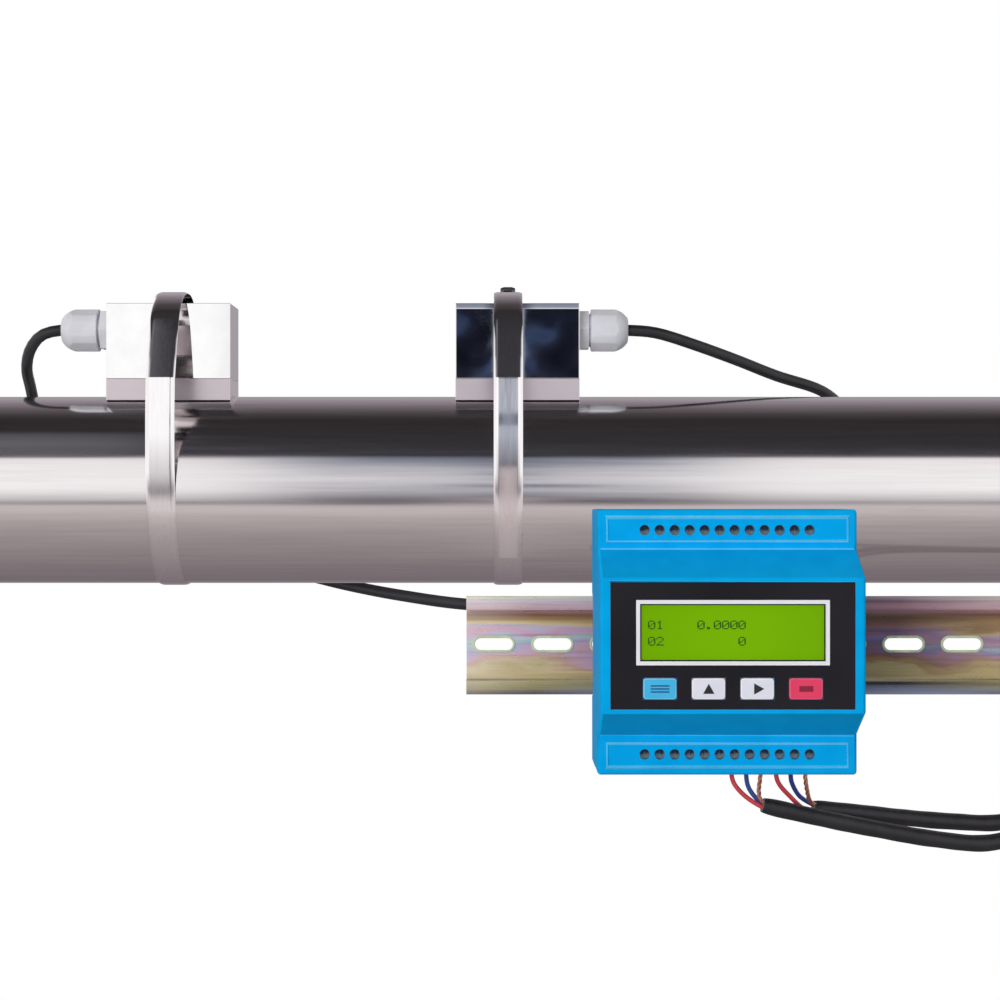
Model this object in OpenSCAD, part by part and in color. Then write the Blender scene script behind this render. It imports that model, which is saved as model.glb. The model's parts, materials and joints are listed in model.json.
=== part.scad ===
// Clamp-on ultrasonic flow meter: two transducers strapped on a pipe, and a
// rail-mounted transmitter below it. Millimetres. X runs along the pipe, Y away
// from the reader of the display, Z up. The origin is on the pipe's axis.

/* [Pipe] */
// Outside diameter of the pipe
pipe_od = 70; // [64:1:76]
// Wall thickness of the pipe
pipe_wall = 2; // [1:0.5:4]
// Length of the pipe section
pipe_len = 420; // [400:10:600]

/* [Transducers] */
// Place of the left transducer along the pipe
left_x = -123; // [-140:1:-100]
// Place of the right transducer along the pipe
right_x = 6.5; // [0:0.5:20]
// Width of a transducer along the pipe
sensor_w = 46; // [44:1:56]
// Depth of a transducer across the pipe
sensor_d = 25; // [24:1:34]
// Height of the shoe that carries the acoustic wedge
shoe_h = 8; // [6:0.5:10]
// Height of the polished housing above the shoe
housing_h = 28; // [26:0.5:34]
// Wall of the housing
housing_wall = 2; // [1.5:0.5:3]
// Width of the acoustic wedge along the pipe
wedge_w = 30; // [26:1:32]
// Depth of the acoustic wedge across the pipe
wedge_d = 18; // [16:1:19]
// Diameter of the piezo disc
piezo_d = 14; // [10:1:15]
// Thickness of the piezo disc
piezo_t = 1.2; // [0.8:0.1:2]

/* [Cable glands] */
// Distance across the flats of the gland body's hexagon
hex_across = 14; // [13.5:0.5:18]
// Height of the hexagon
hex_h = 3.8; // [3:0.1:5]
// Diameter of the thread into the housing
thread_d = 12; // [11:0.5:12]
// Diameter of the neck under the nut
neck_d = 12.3; // [12:0.1:12.8]
// Outside diameter of the domed nut
nut_d = 15.8; // [15.4:0.1:17]
// Length of the domed nut
nut_h = 14; // [12:0.5:16]

/* [Straps] */
// Width of a strap band
strap_w = 10.5; // [10:0.5:14]
// Thickness of a strap band
strap_t = 0.7; // [0.5:0.1:1]
// Place of the left strap from its transducer's middle
left_strap_shift = 0.9; // [-5:0.1:5]
// Place of the right strap from its transducer's middle
right_strap_shift = -3.5; // [-5:0.1:5]
// Width of the buckle across the band
buckle_w = 14; // [13:0.5:16]
// Length of the buckle along the band
buckle_len = 13; // [11:0.5:15]
// Radius of the worm thread
worm_r = 3.9; // [3.5:0.1:4.2]
// Distance across the flats of the screw head
head_across = 5.5; // [5:0.5:8]

/* [Rail] */
// Length of the rail section
rail_len = 205; // [205:1:260]
// Height of the rail over its lips
rail_h = 35; // [35:1:35]
// Depth of the rail
rail_depth = 7.5; // [7.5:0.5:15]
// Sheet thickness of the rail
rail_t = 1; // [0.8:0.1:1.2]
// Length of a slot in the rail
slot_len = 14.5; // [12:0.5:16]
// Width of a slot in the rail
slot_w = 5.2; // [4.8:0.1:6.2]
// Distance between neighbouring slots
slot_pitch = 21; // [20:0.5:25]

/* [Transmitter case] */
// Width of the case
case_w = 88; // [86:1:100]
// Height of the case
case_h = 90; // [90:1:96]
// Depth of the case
case_d = 60; // [58:1:70]
// Wall of the case
case_wall = 2; // [1.6:0.2:2.4]
// Height of the raised middle of the front
middle_h = 45; // [44:0.5:47]
// Height of each terminal step
step_h = 13.5; // [11.5:0.5:14]
// Depth of the terminal steps behind the front
step_d = 18; // [17:0.5:20]

/* [Display and keys] */
// Width of the black front overlay
overlay_w = 80.8; // [78:0.2:82]
// Height of the black front overlay
overlay_h = 42; // [41:0.5:43]
// Width of the white frame round the display
frame_w = 64; // [63:0.5:68]
// Height of the white frame round the display
frame_h = 21.6; // [21:0.2:22]
// Line width of the white frame
frame_line = 1.3; // [1:0.1:1.5]
// Width of a key
key_w = 11; // [9:0.5:12]
// Height of a key
key_h = 7; // [6:0.5:7.5]
// Distance between neighbouring keys
key_pitch = 16.1; // [15.5:0.1:17]
// Travel of a key
key_travel = 0.4; // [0.2:0.05:0.4]

/* [Terminals] */
// Terminals in a row
terminals = 12; // [8:1:12]
// Distance between neighbouring terminals
terminal_pitch = 5.08; // [5:0.01:5.08]
// Diameter of a terminal screw
terminal_screw_d = 3.4; // [3:0.1:3.4]

/* [Cables] */
// Diameter of a transducer cable
cable_d = 4.3; // [4:0.1:4.4]
// Diameter of the sleeve at the transmitter end
sleeve_d = 5.8; // [5:0.1:6]
// Diameter of a terminal wire
wire_d = 1.6; // [1.2:0.1:1.8]

/* [Hidden] */
$fn = 48;

// Overrun of every cut
cut = 1;
pipe_r = pipe_od / 2;
cable_r = cable_d / 2;

// Transducer fits and inner places, measured from the shoe's feet, which stand a
// little below the pipe's top line
saddle_sink = 1.8;
saddle_fit = 0.05;
sensor_z = pipe_r - saddle_sink;
wedge_fit = 0.1;
wedge_toe = 1;
wedge_rise = 15;
wedge_land = 6;
wedge_slope = atan2(wedge_rise - wedge_toe, wedge_w - wedge_land);
slope_x = -wedge_land / 2;
slope_z = shoe_h + (wedge_rise + wedge_toe) / 2;
piezo_lead_d = 1;
lead_clear = 0.35;
lead_spread = 1.8;

// Gland places, measured outwards from the housing's side
gland_above_shoe = 18.8;
gland_z = shoe_h + gland_above_shoe;
thread_in = 4;
thread_fit = 0.05;
nut_gap = 0.8;
nut_start = hex_h + nut_gap;
nut_run = 0.05;
neck_hold = 9;
neck_top = nut_start + neck_hold;
nut_roof_gap = 0.3;
nut_skirt_share = 0.64;
nut_nose_r = 4.4;
nut_flat_inset = 0.35;
seal_d = 9;
seal_h = 7.5;
seal_fit = 0.05;
cable_play = 0.3;
cable_fit = 0.05;
bore_play = 0.2;

// Strap outline in the plane across the pipe: at the back the band runs straight from
// the pipe to the housing's top corner, then it arches over the top and stands off in
// front. Its points there are out and up, in shares of the band's radius on the pipe
// and of the corner's height
strap_fit = 0.05;
band_r = pipe_r + strap_fit;
corner_y = sensor_d / 2;
corner_z = sensor_z + shoe_h + housing_h + strap_fit;
strap_lean = atan2(corner_y, corner_z) + acos(band_r / norm([corner_y, corner_z]));
tail_past_buckle = 22;
corner_bend = 4;
over_top_shares = [[0.27, 1.035], [0.128, 1.055], [-0.03, 1.06], [-0.23, 1.053],
    [-0.43, 1.024], [-0.613, 0.965], [-0.765, 0.88], [-0.913, 0.722], [-1.036, 0.57]];
front_shares = [[-1.06, 0.38], [-1.061, 0.123]];
front_contact = 192;
round_steps = 48;
straight_up = 90;
full_turn = 360;
notch_w = 8;
notch_h = 1.1;
notch_deep = 0.35;
notch_pitch = 2.2;
notches = 7;
notch_first = 3;

// Buckle and worm screw, measured outwards from the band
left_buckle_drop = 16;
right_buckle_drop = -1;
plate_t = 1;
buckle_shell = 0.8;
worm_run = 0.08;
worm_mesh = 0.06;
worm_axis = strap_t + worm_mesh + worm_r;
worm_core_r = 3.1;
thread_pitch = 1.9;
thread_crest = 1;
head_h = 5.4;
collar_h = 0.8;
collar_r = 4.4;
head_seat = 0.2;
driver_slot_w = 1.1;
driver_slot_d = 2;

// Rail place: below the pipe, and as far forward as the case holds it
rail_left = -12;
rail_below_pipe = 3;
rail_z = -(pipe_r + rail_below_pipe + rail_h / 2);
rail_lip = 5;
slot_first = 9.8;
slots = floor((rail_len - slot_first - slot_len / 2) / slot_pitch) + 1;

// Case place
case_x = 77;
case_above_rail = 3.5;
case_z = rail_z + case_above_rail;
case_ahead_of_pipe = 3;
case_front = -(pipe_r + case_ahead_of_pipe) - case_d;
hook_d = 6;
rail_fit = 0.1;
rail_front = case_front + case_d - hook_d + rail_fit;
rail_back = rail_front + rail_depth;
rail_in_case = rail_z - case_z;

// Case parts, measured back from the front and up from the case's middle
half_h = case_h / 2;
step_z = half_h - step_h;
split_d = 38;
slope_wall = 1.2;
front_skin = 2.8;
frame_rib = 0.5;
frame_rib_out = 0.35;
rib_inset_x = 3;
rib_inset_z = 2.4;
terminal_inset = 7;
terminal_z = half_h - terminal_inset;
terminal_hole_d = 3.6;
terminal_fit = 0.1;
wire_slot_h = 9;
wire_slot_mid = 28.5;
wire_slot_play = 0.5;
wire_slot_len = terminals * terminal_pitch + 2 * wire_slot_play;
boss_r = 2;
boss_inset = 2.5;
boss_bore_r = 1.05;
boss_bore_len = 5.5;
base_floor = case_d - hook_d - case_wall;
pocket_wall = 2;
hook_bite = 2;
hook_play = 0.3;
hook_t = 2.2;
board_boss_r = 3;
board_boss_inset = 8;
board_boss_x = case_w / 2 - board_boss_inset;
board_boss_z = half_h - board_boss_inset;

// Front pieces, measured back from the front
overlay_t = 0.4;
overlay_in = 0.4;
overlay_play = 0.15;
overlay_back = overlay_in + overlay_t;
frame_t = 0.25;
display_up = 4.35;
glass_in = 1.4;
glass_t = 2.2;
glass_play = 0.3;
glass_w = frame_w - 2 * frame_line;
glass_h = frame_h - 2 * frame_line;
holder_rim = 2.4;
holder_gap = 0.1;
board_front = 9.5;
board_t = 1.6;
light_gap = 0.1;
keys = 4;
keys_down = 14.2;
key_proud = 0.1;
key_play = 0.2;
key_flange = 0.9;
key_flange_t = 1.4;
key_seat = 0.3;
switch_w = 6;
switch_body_h = 3.4;
switch_top_r = 1.7;
switch_gap = 0.1;
board_side_gap = 4;
display_board_w = case_w - 2 * case_wall - 2 * board_side_gap;
board_over_middle = 1;
display_board_h = middle_h + board_over_middle;
boss_x = display_board_w / 2 - boss_inset;
boss_z = display_board_h / 2 - boss_r;
screw_r = 1;
screw_head_r = 2;
screw_head_h = 1.2;
screw_len = 6;

// Boards and what they carry
board_ahead = 1.8;
main_board_front = split_d - board_ahead;
board_play = 1;
header_pins = 8;
header_pitch = 2.54;
pin_r = 0.32;
header_h = 5;
header_z = 10;
socket_len = 8.5;
relay_size = [19, 15, 15.5];
relay_from_side = 14;
relay_x = relay_from_side + case_wall - case_w / 2;
chip_size = [14, 1.4, 14];
chip_from_side = 20;
chip_x = case_w / 2 - case_wall - chip_from_side;
chip_gap = 1.5;
chip_z = header_z + header_h / 2 + chip_gap + chip_size[2] / 2;
cap_r = 4;
cap_h = 11.5;
cap_pitch = 9.5;
cap_from_side = 24;
cap_x = case_w / 2 - case_wall - cap_from_side;
cap_z = -14;
block_h = 9;
block_top = 0.4;
block_foot = 0.1;
well_d = 6.8;
screw_down = 1.2;
entry_w = 3.6;
entry_deep = 8;
slit_w = 0.7;
slit_d = 0.8;

// Rail latch, measured as the case's parts are
latch_w = 12;
latch_t = 3;
latch_travel = 4.5;
latch_play = 0.3;
latch_bite = 1.8;
latch_tab = 1.5;
latch_lip_gap = 0.2;
latch_front = case_d - hook_d + rail_t + rail_fit + latch_lip_gap;
latch_top = rail_in_case - rail_h / 2 + latch_bite;
window_w = 5;
window_below = 4.8;
window_top = latch_top - window_below;
window_len = 14.6;
peg_h = 2.2;
peg_play = 0.3;
spring_r = 1.4;
spring_play = 0.1;

// Cable routes: points chosen by hand, from the gland to the coil and from the
// coil to the end of the sleeve
left_lead_points = [[-142, 0, 60], [-155, 0, 60], [-166, 0, 60], [-173, 0.5, 58],
    [-177.5, 2, 52.5], [-179.5, 6, 46], [-180, 14, 40], [-180, 24, 31.5],
    [-177, 33, 20], [-170, 38, 6], [-159, 39.5, -7], [-143, 38, -16],
    [-122, 34, -22.5], [-98, 28, -28], [-76, 20, -32.5], [-57, 10, -36.5],
    [-36, -8, -39.5], [-12, -26, -41.8], [14, -32, -42], [40, -33.6, -40.5],
    [66, -33.6, -38.2], [80, -33.6, -37.7]];
right_lead_points = [[25.5, 0, 60], [38, 0, 60], [50, 0, 60], [60, 0.8, 58.9],
    [74, 4, 54.8], [90, 9, 49.5], [106, 14.5, 43.8], [124, 21, 38.5],
    [134, 28, 31], [141, 35, 20], [145, 39, 7], [146, 40, -7], [144, 38, -20],
    [139, 31.5, -29], [133.5, 22.5, -36.5], [128.5, 11, -42.5], [125.2, 2.2, -48],
    [124.3, -0.2, -54.5]];
left_tail_points = [[108, -20, -39], [119, -23.5, -42.5], [130, -29, -45.8],
    [142, -33, -46.5], [156, -33.6, -46.5], [172, -33.6, -47], [188, -33.6, -52.3],
    [200.5, -35, -63.5], [207, -39.5, -80], [206, -45.5, -97], [199, -50.5, -110],
    [187.5, -55.5, -118.8], [170, -60, -123.2], [150, -63.5, -121.2],
    [128, -66.8, -117], [108, -70, -112.6], [89.9, -72, -108.3]];
right_tail_points = [[108, -14.4, -38.8], [118.5, -14.6, -43.2], [126.5, -17, -50],
    [132, -21.5, -57.5], [139, -27.5, -62.8], [149, -32, -64.5], [162, -33.6, -64.6],
    [176, -33.6, -65.4], [188.5, -33.6, -69.2], [198, -34.8, -77], [202.5, -38.5, -88],
    [200.5, -43, -101], [192, -47.5, -112], [177, -51.5, -117.2],
    [158, -54, -116.6], [140, -57, -114.7], [124, -60, -112.6], [108.7, -62, -110.7]];
left_thin_share = 0.52;
right_thin_share = 0.6;
left_red_points = [[79.5, -69.5, -90], [79.5, -69.5, -97.5], [80.6, -70, -101.5],
    [84, -71, -105.3], [88, -71.9, -108], [90.6, -72.2, -109.3]];
left_blue_points = [[84.6, -69.5, -90], [84.6, -69.5, -98], [85.4, -69.8, -102.5],
    [88, -70.8, -106.2], [90.6, -71.1, -107.6]];
left_shield_points = [[89.7, -69.5, -90], [89.5, -69.8, -98], [88.8, -71, -103],
    [89, -72.4, -106], [90.4, -73, -107.4]];
right_red_points = [[94.8, -69.5, -90], [94.8, -69.5, -97.5], [96, -69.5, -101.5],
    [100, -68, -106], [104.8, -65, -110.4], [109.4, -62.5, -112]];
right_blue_points = [[99.9, -69.5, -90], [99.9, -69.3, -98], [100.9, -67.3, -102],
    [104, -64, -106.6], [109.3, -61, -110]];
right_shield_points = [[104.9, -69.5, -90], [104.9, -69.5, -98], [105.6, -68.3, -103],
    [107, -65.6, -107.6], [109.4, -63.1, -109.7]];

// Tube rings: sides of a cable and of a wire, and diameters from ring to ring
cable_sides = 8;
wire_sides = 6;
ring_gap_share = 2.5;
spline_steps = 8;

// Coils: four layers that spiral in and out behind the rail
coil_pitch = cable_d + 0.45;
coil_r = 32;
coil_layers = 4;
coil_sides = 6;
loop_rings = 24;
left_loops = 12;
right_loops = 11.75;
coil_below_pipe = 0.55;
coil_behind_rail = 0.6;
coil_apart = 0.2;
coil_slots_along = 4.5;
climb_turns = 0.5;
coil_x = rail_left + slot_first + coil_slots_along * slot_pitch;
coil_z = -(pipe_r + coil_below_pipe + cable_r + coil_r);
coil_depth = (coil_layers - 1) * coil_pitch;
left_coil_y = rail_back + coil_behind_rail + cable_r;
right_coil_y = left_coil_y + coil_depth + coil_pitch + coil_apart;

// Cable ties, each through two neighbouring slots of the rail
tie_t = 1.1;
tie_w = 2.4;
tie_play = 0.3;
tie_lift = 0.2;
tie_low = rail_z - slot_w / 2 + tie_lift;
tie_outer = coil_r + cable_r + tie_play;
tie_inner_edge = 5;
tie_head = [4.5, 3, 4.5];

function unit(v) = v / norm(v);

// A point of the curve through p1 and p2
function spline(p0, p1, p2, p3, t) = 0.5 * (2 * p1 + (p2 - p0) * t
    + (2 * p0 - 5 * p1 + 4 * p2 - p3) * t ^ 2 + (3 * p1 - p0 - 3 * p2 + p3) * t ^ 3);

function smooth(points) = let (last = len(points) - 1)
    [for (i = [0:last - 1], s = [0:spline_steps - 1]) spline(
        points[max(i - 1, 0)], points[i], points[i + 1], points[min(i + 2, last)],
        s / spline_steps), points[last]];

function running_lengths(points, i = 0, sum = 0, list = []) = i == len(points) ? list
    : let (here = i == 0 ? 0 : sum + norm(points[i] - points[i - 1]))
        running_lengths(points, i + 1, here, concat(list, [here]));

// Points at an even distance along a curve
function even(points, step) = let (
    at = running_lengths(points),
    total = at[len(at) - 1],
    count = round(total / step),
    table = [for (axis = [0:2]) [for (i = [0:len(at) - 1]) [at[i], points[i][axis]]]])
    [for (k = [0:count]) [for (axis = [0:2]) lookup(k * total / count, table[axis])]];

function headings(points) = let (last = len(points) - 1)
    [for (i = [0:last]) unit(points[min(i + 1, last)] - points[max(i - 1, 0)])];

// A side vector carried along the curve without twist
function carried(ways, start, i = 0, list = []) = i == len(ways) ? list
    : let (n = i == 0 ? start : list[i - 1])
        carried(ways, start, i + 1, concat(list, [unit(n - (n * ways[i]) * ways[i])]));

function some(list, from, to) = [for (i = [from:to]) list[i]];

// A tube of flat triangles through rings at the given points
module tube(points, ways, r, sides) {
    side = carried(ways, abs(ways[0][2]) < 0.8 ? [0, 0, 1] : [1, 0, 0]);
    rings = len(points);
    spots = [for (i = [0:rings - 1], k = [0:sides - 1])
        let (a = 360 * k / sides)
            points[i] + r * (cos(a) * side[i] + sin(a) * cross(ways[i], side[i]))];
    walls = [for (i = [0:rings - 2], k = [0:sides - 1])
        let (a = i * sides + k, b = i * sides + (k + 1) % sides)
            each [[a, a + sides, b + sides], [a, b + sides, b]]];
    end = (rings - 1) * sides;
    caps = [for (k = [1:sides - 2]) each [[0, k, k + 1], [end, end + k + 1, end + k]]];
    polyhedron(points = spots, faces = concat(walls, caps));
}

module whole_tube(points, d, sides) {
    ringed = even(smooth(points), ring_gap_share * d);
    tube(ringed, headings(ringed), d / 2, sides);
}

// Coil: loops counted from the start, turned clockwise as seen from the front
function swing(t) = let (u = max(0, min(1, t))) u * u * (3 - 2 * u);
function coil_layer(t, turns) = let (k = round(t / turns), off = t - k * turns)
    (k < 1 || k > coil_layers - 1) ? min(max(floor(t / turns), 0), coil_layers - 1)
    : abs(off) < climb_turns / 2 ? k - 1 + swing(off / climb_turns + 0.5) : floor(t / turns);
function coil_radius(t, turns) = let (u = t / turns, k = floor(u), f = u - k)
    coil_r - coil_pitch * turns * (k % 2 == 0 ? f : 1 - f);
function coil_points(loops, angle, first_y, pitch_y) = let (
    turns = loops / coil_layers, n = round(loops * loop_rings))
    [for (i = [0:n]) let (t = i * loops / n, a = angle - 360 * t, r = coil_radius(t, turns))
        [coil_x + r * cos(a), first_y + coil_layer(t, turns) * pitch_y, coil_z + r * sin(a)]];

// The way of a clockwise loop at an angle, and the straight ends of a coil
function loop_way(a) = [sin(a), 0, -cos(a)];
function rim(angle, y) = [coil_x + coil_r * cos(angle), y, coil_z + coil_r * sin(angle)];
function coil_start(angle, y) = rim(angle, y) - cable_d * loop_way(angle);
function coil_end(angle, y) = rim(angle, y) + cable_d * loop_way(angle);

module coil(body, from, to, from_way, to_way) {
    points = [from, each body, to];
    turned = headings(points);
    last = len(points) - 1;
    ways = [for (i = [0:last]) i == 0 ? from_way : i == last ? to_way : turned[i]];
    tube(points, ways, cable_r, coil_sides);
}

// Least gap between the cable's surfaces, half a loop or more apart
function coil_gap(points) = min([for (i = [0:len(points) - 1])
    for (j = [i + loop_rings / 2:1:len(points) - 1]) norm(points[i] - points[j])]) - cable_d;

// Places
left_start_angle = 90;
right_start_angle = 0;
end_angle = 90;
right_coil_far = right_coil_y + coil_depth;
left_coil_start = coil_start(left_start_angle, left_coil_y);
left_coil_end = coil_end(end_angle, left_coil_y + coil_depth);
right_coil_start = coil_start(right_start_angle, right_coil_far);
right_coil_end = coil_end(end_angle, right_coil_y);
left_turns = coil_points(left_loops, left_start_angle, left_coil_y, coil_pitch);
right_turns = coil_points(right_loops, right_start_angle, right_coil_far, -coil_pitch);

module at_left() {
    translate([left_x, 0, sensor_z]) children();
}

module at_right() {
    translate([right_x, 0, sensor_z]) mirror([1, 0, 0]) children();
}

module in_case() {
    translate([case_x, case_front, case_z]) children();
}

// A block between two depths and two heights, centred across
module slab(width, from_d, to_d, from_z, to_z) {
    translate([-width / 2, from_d, from_z]) cube([width, to_d - from_d, to_z - from_z]);
}

// An outline of depths and heights, drawn out across the case
module across(width) {
    rotate([90, 0, 90]) linear_extrude(width, center = true) children();
}

// A round bar along the depth
module depth_bar(x, from_d, to_d, z, r) {
    translate([x, from_d, z]) rotate([-90, 0, 0]) cylinder(r = r, h = to_d - from_d);
}

module rod(from, to, r) {
    v = to - from;
    translate(from) rotate([0, acos(v[2] / norm(v)), atan2(v[1], v[0])])
        cylinder(r = r, h = norm(v));
}

module pipe_section() {
    color("silver") rotate([0, 90, 0]) difference() {
        cylinder(r = pipe_r, h = pipe_len, center = true, $fn = 96);
        cylinder(r = pipe_r - pipe_wall, h = pipe_len + 2 * cut, center = true, $fn = 96);
    }
}

module rail_outline() {
    web = rail_h / 2 - rail_lip;
    polygon([[0, rail_h / 2], [0, web], [rail_depth - rail_t, web],
        [rail_depth - rail_t, -web], [0, -web], [0, -rail_h / 2], [rail_t, -rail_h / 2],
        [rail_t, -web - rail_t], [rail_depth, -web - rail_t], [rail_depth, web + rail_t],
        [rail_t, web + rail_t], [rail_t, rail_h / 2]]);
}

module rail_slot() {
    straight = slot_len - slot_w;
    translate([-straight / 2, 0, -slot_w / 2]) cube([straight, rail_t + 2 * cut, slot_w]);
    for (side = [-1, 1])
        depth_bar(side * straight / 2, 0, rail_t + 2 * cut, 0, slot_w / 2);
}

module din_rail() {
    color("darkkhaki") translate([rail_left, rail_front, rail_z]) difference() {
        translate([rail_len / 2, 0, 0]) across(rail_len) rail_outline();
        for (i = [0:slots - 1])
            translate([slot_first + i * slot_pitch, rail_depth - rail_t - cut, 0]) rail_slot();
    }
}

// The round of the pipe, which the shoe and the wedge are hollowed to
module pipe_hollow() {
    translate([-sensor_w / 2 - cut, 0, -sensor_z]) rotate([0, 90, 0])
        cylinder(r = pipe_r + saddle_fit, h = sensor_w + 2 * cut, $fn = 96);
}

module sensor_housing() {
    inner_w = sensor_w - 2 * housing_wall;
    inner_d = sensor_d - 2 * housing_wall;
    color("whitesmoke") difference() {
        translate([-sensor_w / 2, -sensor_d / 2, shoe_h]) cube([sensor_w, sensor_d, housing_h]);
        translate([-inner_w / 2, -inner_d / 2, shoe_h - cut])
            cube([inner_w, inner_d, housing_h - housing_wall + cut]);
        on_gland() translate([0, 0, -housing_wall - cut])
            cylinder(d = thread_d + 2 * thread_fit, h = housing_wall + 2 * cut);
    }
}

module sensor_shoe() {
    hole_w = wedge_w + 2 * wedge_fit;
    hole_d = wedge_d + 2 * wedge_fit;
    color("gainsboro") difference() {
        translate([-sensor_w / 2, -sensor_d / 2, 0]) cube([sensor_w, sensor_d, shoe_h]);
        translate([-hole_w / 2, -hole_d / 2, -cut]) cube([hole_w, hole_d, shoe_h + 2 * cut]);
        pipe_hollow();
    }
}

module acoustic_wedge() {
    side = wedge_w / 2;
    color("peru") difference() {
        rotate([90, 0, 0]) linear_extrude(wedge_d, center = true)
            polygon([[-side, 0], [side, 0], [side, shoe_h + wedge_rise],
                [side - wedge_land, shoe_h + wedge_rise], [-side, shoe_h + wedge_toe]]);
        pipe_hollow();
    }
}

module piezo_disc() {
    color("goldenrod") translate([slope_x, 0, slope_z]) rotate([0, -wedge_slope, 0])
        cylinder(d = piezo_d, h = piezo_t);
}

module piezo_leads() {
    lead_r = piezo_lead_d / 2;
    top = [slope_x - piezo_t * sin(wedge_slope), 0, slope_z + piezo_t * cos(wedge_slope)];
    cable_end = [-sensor_w / 2 + thread_in + lead_clear, 0, gland_z];
    color("crimson") for (side = [-1, 1]) {
        start = cable_end + [0, side * lead_spread / 2, 0];
        stop = top + [0, side * piezo_d / 4, lead_r];
        rod(start, stop, lead_r);
    }
}

// Gland pieces stand on the housing's side, and point away from it
module on_gland() {
    translate([-sensor_w / 2, 0, gland_z]) rotate([0, -90, 0]) children();
}

module gland_body() {
    bore = cable_d + 2 * bore_play;
    color("lightgray") on_gland() difference() {
        union() {
            rotate([0, 0, 30]) cylinder(d = hex_across / cos(30), h = hex_h, $fn = 6);
            cylinder(d = neck_d, h = neck_top);
            translate([0, 0, -thread_in]) cylinder(d = thread_d, h = thread_in + cut);
        }
        translate([0, 0, -thread_in - cut]) cylinder(d = bore, h = neck_top + thread_in + 2 * cut);
        translate([0, 0, neck_top - seal_h])
            cylinder(d = seal_d + 2 * seal_fit, h = seal_h + cut);
    }
}

module gland_seal() {
    color("dimgray") on_gland() translate([0, 0, neck_top - seal_h]) difference() {
        cylinder(d = seal_d, h = seal_h);
        translate([0, 0, -cut]) cylinder(d = cable_d + 2 * cable_fit, h = seal_h + 2 * cut);
    }
}

module gland_nut() {
    skirt = nut_h * nut_skirt_share;
    nut_r = nut_d / 2;
    dome_z = (nut_r ^ 2 - nut_nose_r ^ 2 + skirt ^ 2 - nut_h ^ 2) / (2 * (skirt - nut_h));
    dome_r = norm([nut_r, skirt - dome_z]);
    color("lightgray") on_gland() translate([0, 0, nut_start]) difference() {
        intersection() {
            cylinder(d = nut_d, h = nut_h);
            cylinder(d = (nut_d - 2 * nut_flat_inset) / cos(30), h = nut_h, $fn = 6);
            union() {
                cylinder(d = nut_d, h = skirt);
                translate([0, 0, dome_z]) sphere(r = dome_r);
            }
        }
        translate([0, 0, -cut]) cylinder(d = neck_d + 2 * nut_run,
            h = neck_hold + nut_roof_gap + cut);
        translate([0, 0, -cut]) cylinder(d = cable_d + 2 * cable_play, h = nut_h + 2 * cut);
    }
}

// The band's inner line, from the pipe up the back, over the top and down the front
over_top = [for (p = over_top_shares) [p[0] * band_r, p[1] * corner_z]];
front_line = [for (p = front_shares) [p[0] * band_r, p[1] * corner_z]];
run_way = [-cos(strap_lean), sin(strap_lean)];
back_corner = [corner_y, corner_z];
run_foot = band_r * [sin(strap_lean), cos(strap_lean)];
round_pipe = [for (i = [0:round_steps - 1])
    let (a = front_contact + (straight_up + full_turn - strap_lean - front_contact)
        * i / round_steps) band_r * [cos(a), sin(a)]];
band_line = concat([run_foot],
    smooth(concat([back_corner - corner_bend * run_way, back_corner], over_top)),
    front_line, round_pipe);

// The line of a closed loop, moved outwards
function outwards(line, t) = let (count = len(line)) [for (i = [0:count - 1])
    let (way = unit(line[(i + 1) % count] - line[(i + count - 1) % count]))
        line[i] + t * [way[1], -way[0]]];

// On the band's straight run at the back: X along the pipe, Y out, Z up the run
module on_run(drop) {
    translate([0, corner_y, corner_z]) rotate([90 - strap_lean, 0, 0])
        translate([0, strap_t, -drop]) children();
}

module strap_band(buckle_drop) {
    tail_len = buckle_drop + buckle_len + tail_past_buckle;
    color("silver") difference() {
        across(strap_w) {
            difference() {
                polygon(outwards(band_line, strap_t));
                polygon(band_line);
            }
            translate(back_corner) rotate(straight_up - strap_lean)
                translate([strap_t / 2, -tail_len])
                square([1.5 * strap_t, tail_len - buckle_drop]);
        }
        for (i = [0:notches - 1])
            on_run(buckle_drop + buckle_len + notch_first + i * notch_pitch)
                translate([-notch_w / 2, strap_t - notch_deep, -notch_h])
                cube([notch_w, notch_deep + cut, notch_h]);
    }
}

module strap_buckle(drop) {
    shell_r = worm_r + worm_run + buckle_shell;
    color("lightsteelblue") on_run(drop + buckle_len) difference() {
        union() {
            translate([-buckle_w / 2, strap_t, 0]) cube([buckle_w, plate_t, buckle_len]);
            translate([0, worm_axis, 0]) cylinder(r = shell_r, h = buckle_len);
            translate([-shell_r, strap_t, 0])
                cube([2 * shell_r, worm_axis - strap_t, buckle_len]);
        }
        translate([0, worm_axis, -cut])
            cylinder(r = worm_r + worm_run, h = buckle_len + 2 * cut);
        translate([-buckle_w / 2, strap_t - cut - buckle_w, -cut])
            cube([buckle_w, buckle_w + cut, buckle_len + 2 * cut]);
    }
}

module worm_screw(drop) {
    threads = floor((buckle_len - thread_crest) / thread_pitch) + 1;
    color("darkgray") on_run(drop + buckle_len) translate([0, worm_axis, 0]) {
        cylinder(r = worm_core_r, h = buckle_len + head_seat + collar_h);
        for (i = [0:threads - 1])
            translate([0, 0, i * thread_pitch]) cylinder(r = worm_r, h = thread_crest);
        translate([0, 0, buckle_len + head_seat]) difference() {
            union() {
                cylinder(r = collar_r, h = collar_h);
                cylinder(d = head_across / cos(30), h = head_h, $fn = 6);
            }
            translate([-head_across, -driver_slot_w / 2, head_h - driver_slot_d])
                cube([2 * head_across, driver_slot_w, driver_slot_d + cut]);
        }
    }
}

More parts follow.
